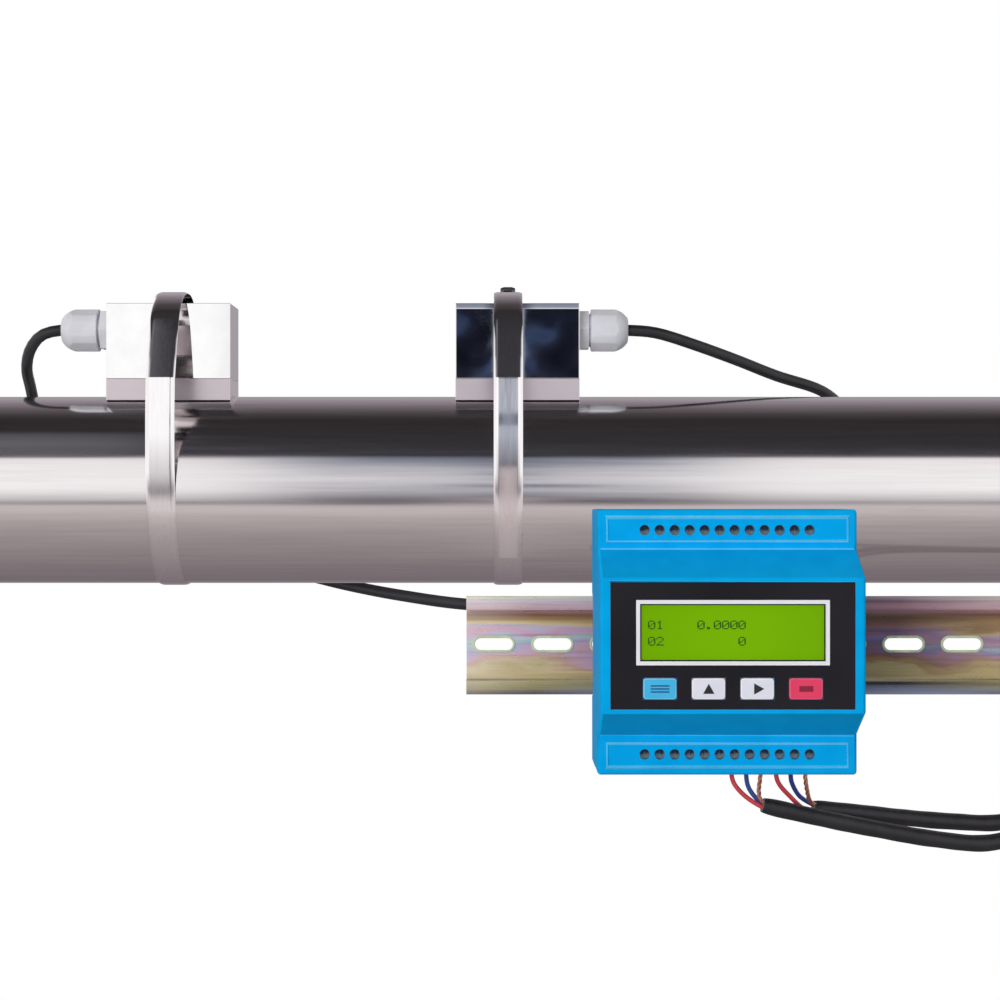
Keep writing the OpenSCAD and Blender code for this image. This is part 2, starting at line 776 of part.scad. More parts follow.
// Case outline: depth from the front, height from the middle
module case_outline() {
    mid = middle_h / 2;
    polygon([[split_d, -half_h], [step_d, -half_h], [step_d, -step_z], [0, -mid],
        [0, mid], [step_d, step_z], [step_d, half_h], [split_d, half_h]]);
}

module case_inside() {
    mid = middle_h / 2 + front_skin * (step_z - middle_h / 2) / step_d - slope_wall
        - case_wall * (step_z - middle_h / 2) / step_d;
    inner_step = step_z - slope_wall;
    top = half_h - case_wall;
    step_in = step_d + case_wall;
    polygon([[split_d + cut, -top], [step_in, -top], [step_in, -inner_step],
        [front_skin, -mid], [front_skin, mid], [step_in, inner_step], [step_in, top],
        [split_d + cut, top]]);
}

function terminal_x(i) = (i - (terminals - 1) / 2) * terminal_pitch;
function key_x(i) = (i - (keys - 1) / 2) * key_pitch;

module key_holes(from_d, to_d, play) {
    for (i = [0:keys - 1]) translate([key_x(i), 0, 0])
        slab(key_w + 2 * play, from_d, to_d, -keys_down - key_h / 2 - play,
            -keys_down + key_h / 2 + play);
}

module step_frames() {
    width = case_w - 2 * rib_inset_x;
    low = step_z + rib_inset_z;
    high = half_h - rib_inset_z;
    for (side = [0, 1]) mirror([0, 0, side]) difference() {
        slab(width, step_d - frame_rib_out, step_d + frame_rib, low, high);
        slab(width - 2 * frame_rib, step_d - cut, step_d + cut, low + frame_rib,
            high - frame_rib);
    }
}

module display_window(width, height, from_d, to_d) {
    slab(width, from_d, to_d, display_up - height / 2, display_up + height / 2);
}

module front_cover() {
    color("deepskyblue") in_case() {
        difference() {
            union() {
                across(case_w) case_outline();
                step_frames();
            }
            across(case_w - 2 * case_wall) case_inside();
            slab(overlay_w + 2 * overlay_play, -cut, overlay_back, -overlay_h / 2 - overlay_play,
                overlay_h / 2 + overlay_play);
            display_window(glass_w + 2 * glass_play, glass_h + 2 * glass_play, 0,
                front_skin + cut);
            key_holes(0, front_skin + cut, key_play);
            for (side = [-1, 1]) {
                for (i = [0:terminals - 1]) depth_bar(terminal_x(i), step_d - cut,
                    step_d + case_wall + cut, side * terminal_z, terminal_hole_d / 2);
                slab(wire_slot_len, wire_slot_mid - wire_slot_h / 2,
                    wire_slot_mid + wire_slot_h / 2, side * (half_h - case_wall / 2) - case_wall,
                    side * (half_h - case_wall / 2) + case_wall);
            }
        }
        for (side = [-1, 1], up = [-1, 1]) difference() {
            depth_bar(side * boss_x, front_skin - slope_wall, board_front, up * boss_z, boss_r);
            depth_bar(side * boss_x, board_front - boss_bore_len, board_front + cut,
                up * boss_z, boss_bore_r);
        }
    }
}

module rear_base() {
    top = half_h - case_wall;
    inner_w = case_w - 2 * case_wall;
    lip_d = case_d - hook_d;
    recess_low = rail_in_case - rail_h / 2 - hook_play;
    recess_high = rail_in_case + rail_h / 2 + hook_play;
    channel_w = latch_w + 2 * latch_play;
    channel_back = latch_front + latch_t + latch_play;
    side_w = (inner_w - channel_w) / 2 - pocket_wall;
    hook_from = lip_d + rail_t + rail_fit + hook_play;
    color("deepskyblue") in_case() {
        difference() {
            slab(case_w, split_d, case_d, -half_h, half_h);
            slab(inner_w, split_d - cut, base_floor, -top, top);
            slab(inner_w, base_floor - cut, case_d - pocket_wall, recess_high + pocket_wall, top);
            for (side = [-1, 1]) translate([side * (inner_w - side_w) / 2, 0, 0])
                slab(side_w, base_floor - cut, case_d - pocket_wall, -top,
                    recess_low - pocket_wall);
            difference() {
                slab(case_w + 2 * cut, lip_d, case_d + cut, recess_low, recess_high);
                slab(case_w + 4 * cut, hook_from, hook_from + hook_t,
                    recess_high - hook_play - hook_bite, recess_high + cut);
            }
            slab(channel_w, latch_front - latch_play, channel_back, -half_h - cut,
                recess_low + cut);
        }
        for (side = [-1, 1], up = [-1, 1]) depth_bar(side * board_boss_x,
            main_board_front + board_t, case_d - pocket_wall / 2, up * board_boss_z,
            board_boss_r);
        slab(window_w - 2 * peg_play, latch_front - latch_play - rail_t / 2,
            channel_back + rail_t / 2, window_top - window_len + peg_play,
            window_top - window_len + peg_play + peg_h);
    }
}

module rail_latch() {
    bottom = -half_h - latch_tab;
    color("black") in_case() difference() {
        slab(latch_w, latch_front, latch_front + latch_t, bottom, latch_top);
        slab(window_w, latch_front - cut, latch_front + latch_t + cut,
            window_top - window_len, window_top);
    }
}

module latch_spring() {
    bottom = window_top - window_len + peg_play + peg_h + spring_play;
    color("silver") in_case() translate([0, latch_front + latch_t / 2, bottom])
        cylinder(r = spring_r, h = window_top - spring_play - bottom);
}

module front_overlay() {
    color("black") in_case() difference() {
        slab(overlay_w, overlay_in, overlay_back, -overlay_h / 2, overlay_h / 2);
        display_window(glass_w, glass_h, overlay_in - cut, overlay_back + cut);
        key_holes(overlay_in - cut, overlay_back + cut, key_play);
    }
}

module display_frame() {
    color("white") in_case() difference() {
        display_window(frame_w, frame_h, overlay_in - frame_t, overlay_in);
        display_window(glass_w, glass_h, overlay_in - cut, overlay_in + cut);
    }
}

module display_glass() {
    color("yellowgreen") in_case()
        display_window(glass_w, glass_h, glass_in, glass_in + glass_t);
}

module display_holder() {
    color("silver") in_case() difference() {
        display_window(glass_w + 2 * holder_rim, glass_h + 2 * holder_rim,
            front_skin + holder_gap, board_front);
        display_window(glass_w + 2 * holder_gap, glass_h + 2 * holder_gap, 0,
            board_front + cut);
    }
}

module backlight() {
    color("greenyellow") in_case() display_window(glass_w, glass_h,
        glass_in + glass_t + light_gap, board_front);
}

module key_cap(i) {
    flange_front = front_skin + key_seat;
    in_case() translate([key_x(i), 0, -keys_down]) {
        slab(key_w, overlay_in - key_proud - key_travel, flange_front, -key_h / 2, key_h / 2);
        slab(key_w + 2 * key_flange, flange_front, flange_front + key_flange_t,
            -key_h / 2 - key_flange, key_h / 2 + key_flange);
    }
}

module menu_key() {
    color("skyblue") key_cap(0);
}

module up_key() {
    color("white") key_cap(1);
}

module right_key() {
    color("white") key_cap(2);
}

module enter_key() {
    color("crimson") key_cap(3);
}

module key_switches() {
    button_top = front_skin + key_seat + key_flange_t + key_travel + switch_gap;
    color("dimgray") in_case() for (i = [0:keys - 1]) {
        translate([key_x(i), 0, -keys_down]) slab(switch_w, board_front - switch_body_h,
            board_front, -switch_w / 2, switch_w / 2);
        depth_bar(key_x(i), button_top, board_front - switch_body_h / 2, -keys_down,
            switch_top_r);
    }
}

module display_board() {
    color("darkgreen") in_case() difference() {
        slab(display_board_w, board_front, board_front + board_t, -display_board_h / 2,
            display_board_h / 2);
        for (side = [-1, 1], up = [-1, 1]) depth_bar(side * boss_x, board_front - cut,
            board_front + board_t + cut, up * boss_z, boss_bore_r);
    }
}

module display_screws() {
    back = board_front + board_t;
    color("silver") in_case() for (side = [-1, 1], up = [-1, 1]) {
        depth_bar(side * boss_x, back - screw_len, back + screw_head_h / 2, up * boss_z, screw_r);
        depth_bar(side * boss_x, back, back + screw_head_h, up * boss_z, screw_head_r);
    }
}

module board_header() {
    length = header_pins * header_pitch;
    back = board_front + board_t;
    color("black") in_case() {
        slab(length, main_board_front - socket_len, main_board_front, header_z - header_h / 2,
            header_z + header_h / 2);
        slab(length, back, back + header_h / 2, header_z - header_h / 2, header_z + header_h / 2);
        for (i = [0:header_pins - 1])
            depth_bar((i - (header_pins - 1) / 2) * header_pitch, back,
                main_board_front - socket_len / 2, header_z, pin_r);
    }
}

module main_board() {
    width = case_w - 2 * case_wall - 2 * board_play;
    height = case_h - 2 * case_wall - 2 * board_play;
    color("darkgreen") in_case() slab(width, main_board_front, main_board_front + board_t,
        -height / 2, height / 2);
}

module on_main_board(x, z, size) {
    translate([x, 0, z]) slab(size[0], main_board_front - size[1], main_board_front,
        -size[2] / 2, size[2] / 2);
}

module processor() {
    color("black") in_case() on_main_board(chip_x, chip_z, chip_size);
}

module relay() {
    color("royalblue") in_case() on_main_board(relay_x, 0, relay_size);
}

module capacitors() {
    color("darkslategray") in_case() for (i = [-1:1]) depth_bar(cap_x + i * cap_pitch,
        main_board_front - cap_h, main_board_front, cap_z, cap_r);
}

module terminal_block(side) {
    front = step_d + case_wall + block_top;
    low = terminal_z - block_h / 2;
    color("darkgreen") in_case() mirror([0, 0, side]) difference() {
        slab(terminals * terminal_pitch, front, main_board_front - block_foot, low,
            low + block_h);
        for (i = [0:terminals - 1]) {
            depth_bar(terminal_x(i), front - cut, front + well_d, terminal_z,
                terminal_screw_d / 2 + terminal_fit);
            translate([terminal_x(i), 0, 0]) slab(entry_w, wire_slot_mid - entry_w / 2,
                wire_slot_mid + entry_w / 2, low + block_h - entry_deep, low + block_h + cut);
        }
    }
}

module terminal_screws(side) {
    front = step_d + case_wall + block_top + screw_down;
    end = front + well_d - screw_down;
    color("silver") in_case() mirror([0, 0, side]) for (i = [0:terminals - 1]) difference() {
        depth_bar(terminal_x(i), front, end, terminal_z, terminal_screw_d / 2);
        translate([terminal_x(i), 0, terminal_z]) slab(slit_w, front - cut, front + slit_d,
            -terminal_screw_d, terminal_screw_d);
    }
}

module cable_lead(points, meet) {
    whole_tube(concat(points, [meet]), cable_d, cable_sides);
}

// The coil's tail as thin cable, and its last stretch as the thicker sleeve
module tail_piece(points, meet, share, sleeve) {
    ringed = even(smooth(concat([meet], points)), ring_gap_share * cable_d);
    ways = headings(ringed);
    last = len(ringed) - 1;
    turn = round(last * share);
    from = sleeve ? turn : 0;
    to = sleeve ? last : turn;
    tube(some(ringed, from, to), some(ways, from, to), (sleeve ? sleeve_d : cable_d) / 2,
        cable_sides);
}

module wire(points) {
    whole_tube(points, wire_d, wire_sides);
}

module left_wires() {
    color("crimson") wire(left_red_points);
    color("navy") wire(left_blue_points);
    color("rosybrown") wire(left_shield_points);
}

module right_wires() {
    color("crimson") wire(right_red_points);
    color("navy") wire(right_blue_points);
    color("rosybrown") wire(right_shield_points);
}

// One tie is a closed band through two slots, round the turns of both coils
module coil_tie() {
    front = rail_back - rail_t - tie_play - tie_t;
    back = right_coil_far + cable_r + tie_play;
    width = tie_outer - tie_inner_edge;
    translate([tie_inner_edge, front, tie_low]) difference() {
        cube([width + tie_t, back + tie_t - front, tie_w]);
        translate([tie_t, tie_t, -cut]) cube([width - tie_t, back - front - tie_t, tie_w + 2 * cut]);
    }
    translate([tie_inner_edge + width / 2 - tie_head[0] / 2, back, tie_low])
        cube([tie_head[0], tie_t + tie_head[1], tie_head[2]]);
}

module coil_ties() {
    color("white") translate([coil_x, 0, 0]) {
        coil_tie();
        mirror([1, 0, 0]) coil_tie();
    }
}

echo(left_coil_least_gap = coil_gap(left_turns), right_coil_least_gap = coil_gap(right_turns));

pipe_section();
din_rail();
at_left() sensor_housing();  // left_housing
at_left() sensor_shoe();  // left_shoe
at_left() acoustic_wedge();  // left_wedge
at_left() piezo_disc();  // left_piezo
at_left() piezo_leads();  // left_piezo_leads
at_left() gland_body();  // left_gland_body
at_left() gland_seal();  // left_gland_seal
at_left() gland_nut();  // left_gland_nut
translate([left_x + left_strap_shift, 0, 0]) strap_band(left_buckle_drop);  // left_strap
translate([left_x + left_strap_shift, 0, 0]) strap_buckle(left_buckle_drop);  // left_buckle
translate([left_x + left_strap_shift, 0, 0]) worm_screw(left_buckle_drop);  // left_worm_screw
at_right() sensor_housing();  // right_housing
at_right() sensor_shoe();  // right_shoe
at_right() acoustic_wedge();  // right_wedge
at_right() piezo_disc();  // right_piezo
at_right() piezo_leads();  // right_piezo_leads
at_right() gland_body();  // right_gland_body
at_right() gland_seal();  // right_gland_seal
at_right() gland_nut();  // right_gland_nut
translate([right_x + right_strap_shift, 0, 0]) strap_band(right_buckle_drop);  // right_strap
translate([right_x + right_strap_shift, 0, 0]) strap_buckle(right_buckle_drop);  // right_buckle
translate([right_x + right_strap_shift, 0, 0]) worm_screw(right_buckle_drop);  // right_worm_screw
rear_base();
front_cover();
front_overlay();
display_frame();
display_glass();
display_holder();
backlight();
menu_key();
up_key();
right_key();
enter_key();
key_switches();
display_board();
display_screws();
board_header();
main_board();
processor();
relay();
capacitors();
terminal_block(0);  // top_terminals
terminal_block(1);  // bottom_terminals
terminal_screws(0);  // top_terminal_screws
terminal_screws(1);  // bottom_terminal_screws
rail_latch();
latch_spring();
color("black") cable_lead(left_lead_points, left_coil_start);  // left_lead
color("black") coil(left_turns, left_coil_start, left_coil_end,  // left_coil
        loop_way(left_start_angle), loop_way(end_angle));
color("black") tail_piece(left_tail_points, left_coil_end, left_thin_share, false);  // left_tail
color("black") tail_piece(left_tail_points, left_coil_end, left_thin_share, true);  // left_sleeve
left_wires();
color("black") cable_lead(right_lead_points, right_coil_start);  // right_lead
color("black") coil(right_turns, right_coil_start, right_coil_end,  // right_coil
        loop_way(right_start_angle), loop_way(end_angle));
color("black") tail_piece(right_tail_points, right_coil_end, right_thin_share, false);  // right_tail
color("black") tail_piece(right_tail_points, right_coil_end, right_thin_share, true);  // right_sleeve
right_wires();
coil_ties();
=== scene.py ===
# %% [markdown]
# A clamp-on ultrasonic flow meter. Two transducers are strapped on a steel pipe, and
# their cables run to a transmitter on a mounting rail below. The construction comes in
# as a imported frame. This lesson gives it its finishes, its rounded edges, its cables
# and the small details that a reader sees from a step away.

# %% The frame
import json
import math

import bmesh
import bpy
from mathutils import Matrix, Vector

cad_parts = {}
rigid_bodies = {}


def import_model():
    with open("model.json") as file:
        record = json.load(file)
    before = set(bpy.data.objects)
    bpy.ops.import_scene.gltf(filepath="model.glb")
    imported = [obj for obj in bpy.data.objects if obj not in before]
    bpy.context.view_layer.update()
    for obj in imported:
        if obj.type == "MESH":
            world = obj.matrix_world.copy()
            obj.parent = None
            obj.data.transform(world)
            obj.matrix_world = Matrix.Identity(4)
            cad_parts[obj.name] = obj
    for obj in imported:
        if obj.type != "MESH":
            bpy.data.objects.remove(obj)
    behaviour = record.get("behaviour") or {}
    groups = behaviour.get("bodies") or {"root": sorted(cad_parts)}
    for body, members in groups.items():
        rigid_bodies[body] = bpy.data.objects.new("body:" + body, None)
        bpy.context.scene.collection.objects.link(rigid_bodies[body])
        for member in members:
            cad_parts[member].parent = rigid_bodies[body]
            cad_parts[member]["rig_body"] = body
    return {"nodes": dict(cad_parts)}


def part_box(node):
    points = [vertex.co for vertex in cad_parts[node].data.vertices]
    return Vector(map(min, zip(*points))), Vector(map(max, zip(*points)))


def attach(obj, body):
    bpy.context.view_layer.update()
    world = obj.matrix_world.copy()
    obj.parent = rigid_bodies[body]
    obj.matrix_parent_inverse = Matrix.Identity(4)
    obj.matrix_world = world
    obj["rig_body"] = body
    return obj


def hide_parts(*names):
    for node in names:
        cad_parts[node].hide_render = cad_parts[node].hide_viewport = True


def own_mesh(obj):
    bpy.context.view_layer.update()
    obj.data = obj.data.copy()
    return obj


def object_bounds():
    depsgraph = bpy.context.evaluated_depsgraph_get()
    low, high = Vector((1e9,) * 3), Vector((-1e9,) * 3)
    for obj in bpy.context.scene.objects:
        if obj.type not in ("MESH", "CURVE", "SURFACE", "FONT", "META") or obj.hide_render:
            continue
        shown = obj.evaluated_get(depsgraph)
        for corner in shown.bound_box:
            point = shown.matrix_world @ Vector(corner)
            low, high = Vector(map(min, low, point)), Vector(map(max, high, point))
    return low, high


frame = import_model()
cad_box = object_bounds()
scene = bpy.context.scene
mm = 0.001

# %% [markdown]
# The camera stands level with the pipe, four fifths of a metre in front of it, with a
# long lens. A long lens keeps the sides of the square case nearly parallel, as in a
# catalogue picture. It comes first, because the cables are laid out by what it sees.

# %% Camera
camera_distance = 798 * mm
camera_height = -3.8 * mm
camera = bpy.data.objects.new("camera", bpy.data.cameras.new("camera"))
camera.data.lens = 76.3
camera.data.sensor_width = 36
camera.data.clip_start = 10 * mm
camera.location = (0, -camera_distance, camera_height)
camera.rotation_euler = (math.radians(90), 0, 0)
scene.collection.objects.link(camera)
scene.camera = camera
scene.view_settings.view_transform = "Standard"
print("camera at", tuple(round(v, 4) for v in camera.location))

# %% [markdown]
# Every finish is built from a few shader nodes. Colours are written as the hex values
# that a painter's chart gives, and one function turns them into the linear numbers
# that light adds up in. One function adds a node with its settings and its links.

# %% Colours and nodes
def linear(hex_colour):
    """An sRGB hex value as a linear colour."""
    shares = [int(hex_colour[i:i + 2], 16) / 255 for i in (1, 3, 5)]
    return (*(s / 12.92 if s <= 0.04045 else ((s + 0.055) / 1.055) ** 2.4 for s in shares), 1)


def fill(tree, node, inputs):
    """Sets a node's inputs by value, or links them to a socket or a node's first output."""
    for name, value in inputs.items():
        if isinstance(value, bpy.types.Node):
            value = value.outputs[0]
        if isinstance(value, bpy.types.NodeSocket):
            tree.links.new(value, node.inputs[name])
        else:
            node.inputs[name].default_value = value


def add(tree, kind, inputs=None, **settings):
    """One shader node with its settings and links."""
    node = tree.nodes.new("ShaderNode" + kind)
    for name, value in settings.items():
        setattr(node, name, value)
    fill(tree, node, inputs or {})
    return node


def ramp(tree, factor, stops):
    """A colour ramp through (place, hex colour) stops."""
    node = add(tree, "ValToRGB", {"Fac": factor})
    elements = node.color_ramp.elements
    while len(elements) < len(stops):
        elements.new(0.5)
    for element, (place, colour) in zip(elements, stops):
        element.position = place
        element.color = linear(colour)
    return node


white = linear("#ffffff")
print("white is", white, "mid grey is", round(linear("#808080")[0], 3))

# %% [markdown]
# Polished steel has no look of its own: it shows the studio. The room is therefore
# made first, as a world that is white behind the object and grey with soft bands where
# only reflections see it. A level pipe turns each band of the room into a stripe along
# its length, so the bands are placed by the angle round the pipe's axis: 0 degrees is
# towards the camera, 90 is overhead, 180 behind and -90 below.

# %% Studio
world = bpy.data.worlds.new("studio")
scene.world = world
world.use_nodes = True
room = world.node_tree
room.nodes.clear()
room_where = add(room, "TexCoord").outputs["Generated"]
way_x, way_y, way_z = add(room, "SeparateXYZ", {"Vector": room_where}).outputs
to_camera = add(room, "Math", {0: way_y, 1: -1}, operation="MULTIPLY")
angle = add(room, "Math", {0: way_z, 1: to_camera}, operation="ARCTAN2")
turn = add(room, "MapRange", {"Value": angle, "From Min": -math.pi, "From Max": math.pi})


def turn_at(degrees):
    """An angle round the pipe as a share of the turn from -180 to 180 degrees."""
    return (degrees + 180) / 360


def bands(stops):
    """The room's colour by the angle round the pipe, in degrees."""
    return ramp(room, turn, [(turn_at(degrees), colour) for degrees, colour in stops])


below = [(-180, "#a29ca2"), (-150, "#7a7075"), (-118, "#83797d"), (-90, "#908788"),
         (-65, "#9d9495"), (-48, "#aba2a3"), (-35, "#bbb2b2"), (-23, "#cfc7c7")]
above = [(60, "#343236"), (96, "#302c2e"), (107, "#494445"), (118, "#6a6268"),
         (129, "#857b82"), (150, "#a49ea4"), (180, "#a29ca2")]
side_bands = bands(below + [
    (-19.5, "#d4cccd"), (-16.5, "#8a8589"), (-12, "#cfcbcd"), (0, "#ffffff"),
    (20, "#ffffff"), (38.6, "#fbf6f6"), (40.4, "#57555a"), (44, "#3f3e43")] + above)
middle_bands = bands(below + [
    (-20, "#c8bfc0"), (-16, "#5f5a60"), (-11, "#7f7c84"), (0, "#bdbcc2"), (12, "#d9d8dd"),
    (24, "#c4c4ca"), (33, "#8f95a4"), (39, "#79808f"), (41, "#3d3d42")] + above)
print("bands below and above the middle:", len(below), len(above))

# %% [markdown]
# In the middle of the room stands the dark camera stand, which only a flat mirror at
# the right height picks up. That is why one transducer looks white and the other one
# looks blue-black, although both have the same polish. The stand is open in its middle,
# and a blue-grey panel behind the gap is what the right strap shows. A grey screen at
# the left lightens the dark stripe at that end of the pipe.

# %% Dark stand in the middle of the room
stand_x, stand_half_width, stand_soft = 0.0085, 0.036, 0.004
stand_low, stand_high = 0.052, 0.104
middle_left, middle_right, middle_soft = -0.085, 0.075, 0.05
panel_left, panel_right, panel_soft = -0.004, 0.012, 0.005
gap_left, gap_right, gap_soft = -0.0036, 0.0112, 0.0006
screen_left, screen_right, screen_soft = -0.4, -0.168, 0.012
screen_low, screen_high, screen_fade = turn_at(40.6), turn_at(74), 0.006


def overlap(share, *others):
    """Where all the shares meet."""
    for other in others:
        share = add(room, "Math", {0: share, 1: other}, operation="MULTIPLY")
    return share


def between(value, low, high, soft):
    """1 where the value lies between two limits, with soft edges."""
    rise = add(room, "MapRange", {"Value": value, "From Min": low - soft, "From Max": low})
    fall = add(room, "MapRange", {"Value": value, "From Min": high, "From Max": high + soft,
                                  "To Min": 1, "To Max": 0})
    return overlap(rise, fall)


middle = between(way_x, middle_left, middle_right, middle_soft)
facing = add(room, "Math", {0: to_camera, 1: 0}, operation="GREATER_THAN")
panel = overlap(between(way_x, panel_left, panel_right, panel_soft), facing)
panel_colour = bands([(-180, "#a29ca2"), (-90, "#a29a9c"), (-45, "#b8abad"), (-10, "#cabdbf"),
                      (-8.8, "#5a5960"), (-7, "#787c88"), (0, "#a0a8b6"), (8, "#9aa2b0"),
                      (18, "#747a88"), (30, "#5c606c"), (39, "#4a4c56"), (41, "#3a393e"),
                      (60, "#343236"), (96, "#302c2e"), (107, "#494445"), (180, "#a29ca2")])
beside_gap = add(room, "Math", {0: 1, 1: between(way_x, gap_left, gap_right, gap_soft)},
                 operation="SUBTRACT")
stand = overlap(between(way_x, stand_x - stand_half_width, stand_x + stand_half_width,
                        stand_soft),
                between(way_z, stand_low, stand_high, stand_soft), facing, beside_gap)
blotches = add(room, "TexNoise", {"Vector": room_where, "Scale": 42, "Detail": 2,
                                  "Roughness": 0.4})
stand_colour = ramp(room, blotches, [(0.3, "#0e0f18"), (0.52, "#1a1d2c"),
                                     (0.62, "#33405c"), (0.75, "#1d2233")])
screen = overlap(between(way_x, screen_left, screen_right, screen_soft),
                 between(turn, screen_low, screen_high, screen_fade))
screen_colour = bands([(40, "#4c4a4f"), (44, "#5c5a60"), (58, "#6a686e"), (70, "#5a585d"),
                       (74, "#454347"), (77, "#343236")])
print("stand seen between", stand_low, "and", stand_high)

# %% [markdown]
# Two tall windows stand at the sides. Nothing that faces the camera sees them. Only an
# edge that turns sideways does, and it catches a white line from them. They are the last
# things in the room, so here all that is in it is mixed, one thing over the other.

# %% Side windows
window_from, window_full = 0.3, 0.42
window_low, window_top, window_soft = -0.16, 0.64, 0.1
sideways = add(room, "Math", {0: way_x}, operation="ABSOLUTE")
beside = add(room, "MapRange", {"Value": sideways, "From Min": window_from,
                                "From Max": window_full})
windows = overlap(beside, between(way_z, window_low, window_top, window_soft))
seen = side_bands
for share, colour in ((middle, middle_bands), (screen, screen_colour), (panel, panel_colour),
                      (stand, stand_colour), (windows, linear("#fbf9fa"))):
    seen = add(room, "Mix", {"Factor": share, 6: seen, 7: colour},
               data_type="RGBA").outputs[2]
print("windows from", round(math.degrees(math.asin(window_from))), "degrees sideways")

# %% [markdown]
# The same world lights the object. What the camera sees directly is plain white, what
# a mirror sees is the room above, and what lights a dull surface is an even pale light.
# A wide lamp in front adds the difference between faces that look at the camera and
# slopes that look up or down.

# %% Light
even_light, lamp_light = 0.4, 0.68
lamp_width, lamp_tilt, lamp_turn = (math.radians(degrees) for degrees in (35, 87, -26))
path = add(room, "LightPath")
shown = add(room, "Background", {"Color": white, "Strength": even_light})
mirrored = add(room, "Background", {"Color": seen})
backdrop = add(room, "Background", {"Color": white})
for ray, sight in (("Is Glossy Ray", mirrored), ("Is Transmission Ray", backdrop),
                   ("Is Camera Ray", backdrop)):
    shown = add(room, "MixShader", {0: path.outputs[ray], 1: shown, 2: sight})
add(room, "OutputWorld", {"Surface": shown})

lamp = bpy.data.objects.new("front_lamp", bpy.data.lights.new("front_lamp", "SUN"))
lamp.data.energy = lamp_light * math.pi
lamp.data.angle = lamp_width
lamp.rotation_euler = (lamp_tilt, 0, lamp_turn)
lamp.visible_glossy = False
scene.collection.objects.link(lamp)
print("lamp strength", round(lamp.data.energy, 2))

# %% [markdown]
# The floor lies well below, since the meter hangs on its pipe. It is there to send
# light up under the case. Mirrors skip it, because their floor is in the bands.

# %% Floor
floor_depth, floor_size = 350 * mm, 6
floor_bm = bmesh.new()
bmesh.ops.create_grid(floor_bm, x_segments=2, y_segments=2, size=floor_size / 2)
bmesh.ops.translate(floor_bm, verts=floor_bm.verts, vec=(0, 0, cad_box[0].z - floor_depth))
floor = bpy.data.objects.new("floor", bpy.data.meshes.new("floor"))
floor_bm.to_mesh(floor.data)
floor_bm.free()
floor.visible_glossy = False
scene.collection.objects.link(floor)
paper = bpy.data.materials.new("matt white paper")
paper.use_nodes = True
sheet = paper.node_tree
matt = sheet.nodes["Principled BSDF"]
fill(sheet, matt, {"Base Color": linear("#c9c9c9")})
paper_mix = add(sheet, "MixShader", {
    0: add(sheet, "LightPath").outputs["Is Camera Ray"], 1: matt,
    2: add(sheet, "Emission", {"Color": white, "Strength": 1})})
fill(sheet, sheet.nodes["Material Output"], {"Surface": paper_mix})
floor.data.materials.append(paper)
print("floor at", round(cad_box[0].z - floor_depth, 3))

# %% [markdown]
# Two kinds of finish cover most of the meter. A moulded plastic is one colour that
# drifts a little, with a fine grain that breaks up its shine. A worked metal is a pale
# mirror, roughened by the wheel or the rolls that finished it, along one direction.

# %% Plastic and metal
def new_material(name):
    """A material, its node tree, its main shader and the object's own coordinates."""
    made = bpy.data.materials.new(name)
    made.use_nodes = True
    tree = made.node_tree
    return made, tree, tree.nodes["Principled BSDF"], add(tree, "TexCoord").outputs["Object"]


def noise(tree, where, grain, detail=3, stretch=(1, 1, 1)):
    """Noise whose grain is a real size, drawn out along the axes with a small stretch."""
    fitted = add(tree, "Mapping", {"Vector": where, "Scale": stretch})
    return add(tree, "TexNoise", {"Vector": fitted, "Scale": 1 / grain, "Detail": detail})


def spread(tree, factor, low, high):
    """A noise, which keeps near its middle, spread over a range."""
    return add(tree, "MapRange", {"Value": factor, "From Min": 0.3, "From Max": 0.7,
                                  "To Min": low, "To Max": high})


def plastic(name, light, dark, roughness, grain=0.5 * mm, relief=0.012 * mm, shine=0.5,
            drift=9 * mm):
    """Moulded plastic: its colour drifts between two close shades."""
    made, tree, shader, where = new_material(name)
    fine = noise(tree, where, grain, 2)
    uneven = add(tree, "Bump", {"Height": fine, "Distance": relief, "Strength": 1})
    fill(tree, shader, {
        "Base Color": ramp(tree, noise(tree, where, drift), [(0.3, dark), (0.7, light)]),
        "Roughness": spread(tree, fine, roughness - 0.05, roughness + 0.05),
        "Specular IOR Level": shine, "Normal": uneven})
    return made


def metal(name, light, dark, roughness, change, grain=2 * mm, stretch=(1, 1, 1),
          relief=0.002 * mm):
    """Worked metal: the stretch draws its marks along the way it was worked."""
    made, tree, shader, where = new_material(name)
    marks = noise(tree, where, grain, 4, stretch)
    uneven = add(tree, "Bump", {"Height": marks, "Distance": relief, "Strength": 1})
    fill(tree, shader, {
        "Metallic": 1, "Base Color": ramp(tree, marks, [(0.3, dark), (0.7, light)]),
        "Roughness": spread(tree, marks, max(roughness - change, 0), roughness + change),
        "Normal": uneven})
    return made


along_pipe = (0.03, 1, 1)
upright = (1, 1, 0.04)
mirror_steel = metal("buffed stainless steel", "#ffffff", "#f9f7f8", 0.02, 0.01, 6 * mm,
                     relief=0.0004 * mm)
ground_steel = metal("ground stainless steel", "#e3d9de", "#e0d6db", 0.3, 0.01, 2 * mm,
                     (0.3, 1, 1), 0.00002 * mm)
band_steel = metal("rolled stainless band", "#fffdfd", "#f8f5f6", 0.07, 0.015, 0.9 * mm,
                   upright, 0.0001 * mm)
# The worm screws sit in shade at the back, and their dark colour is painted shade.
painted_shade_screw = metal("stainless screw in painted shade", "#5c5b5f", "#48474b", 0.35, 0.1, 1 * mm)
plated_steel = metal("zinc-plated steel", "#c9c9cc", "#b2b2b6", 0.35, 0.12, 0.8 * mm)


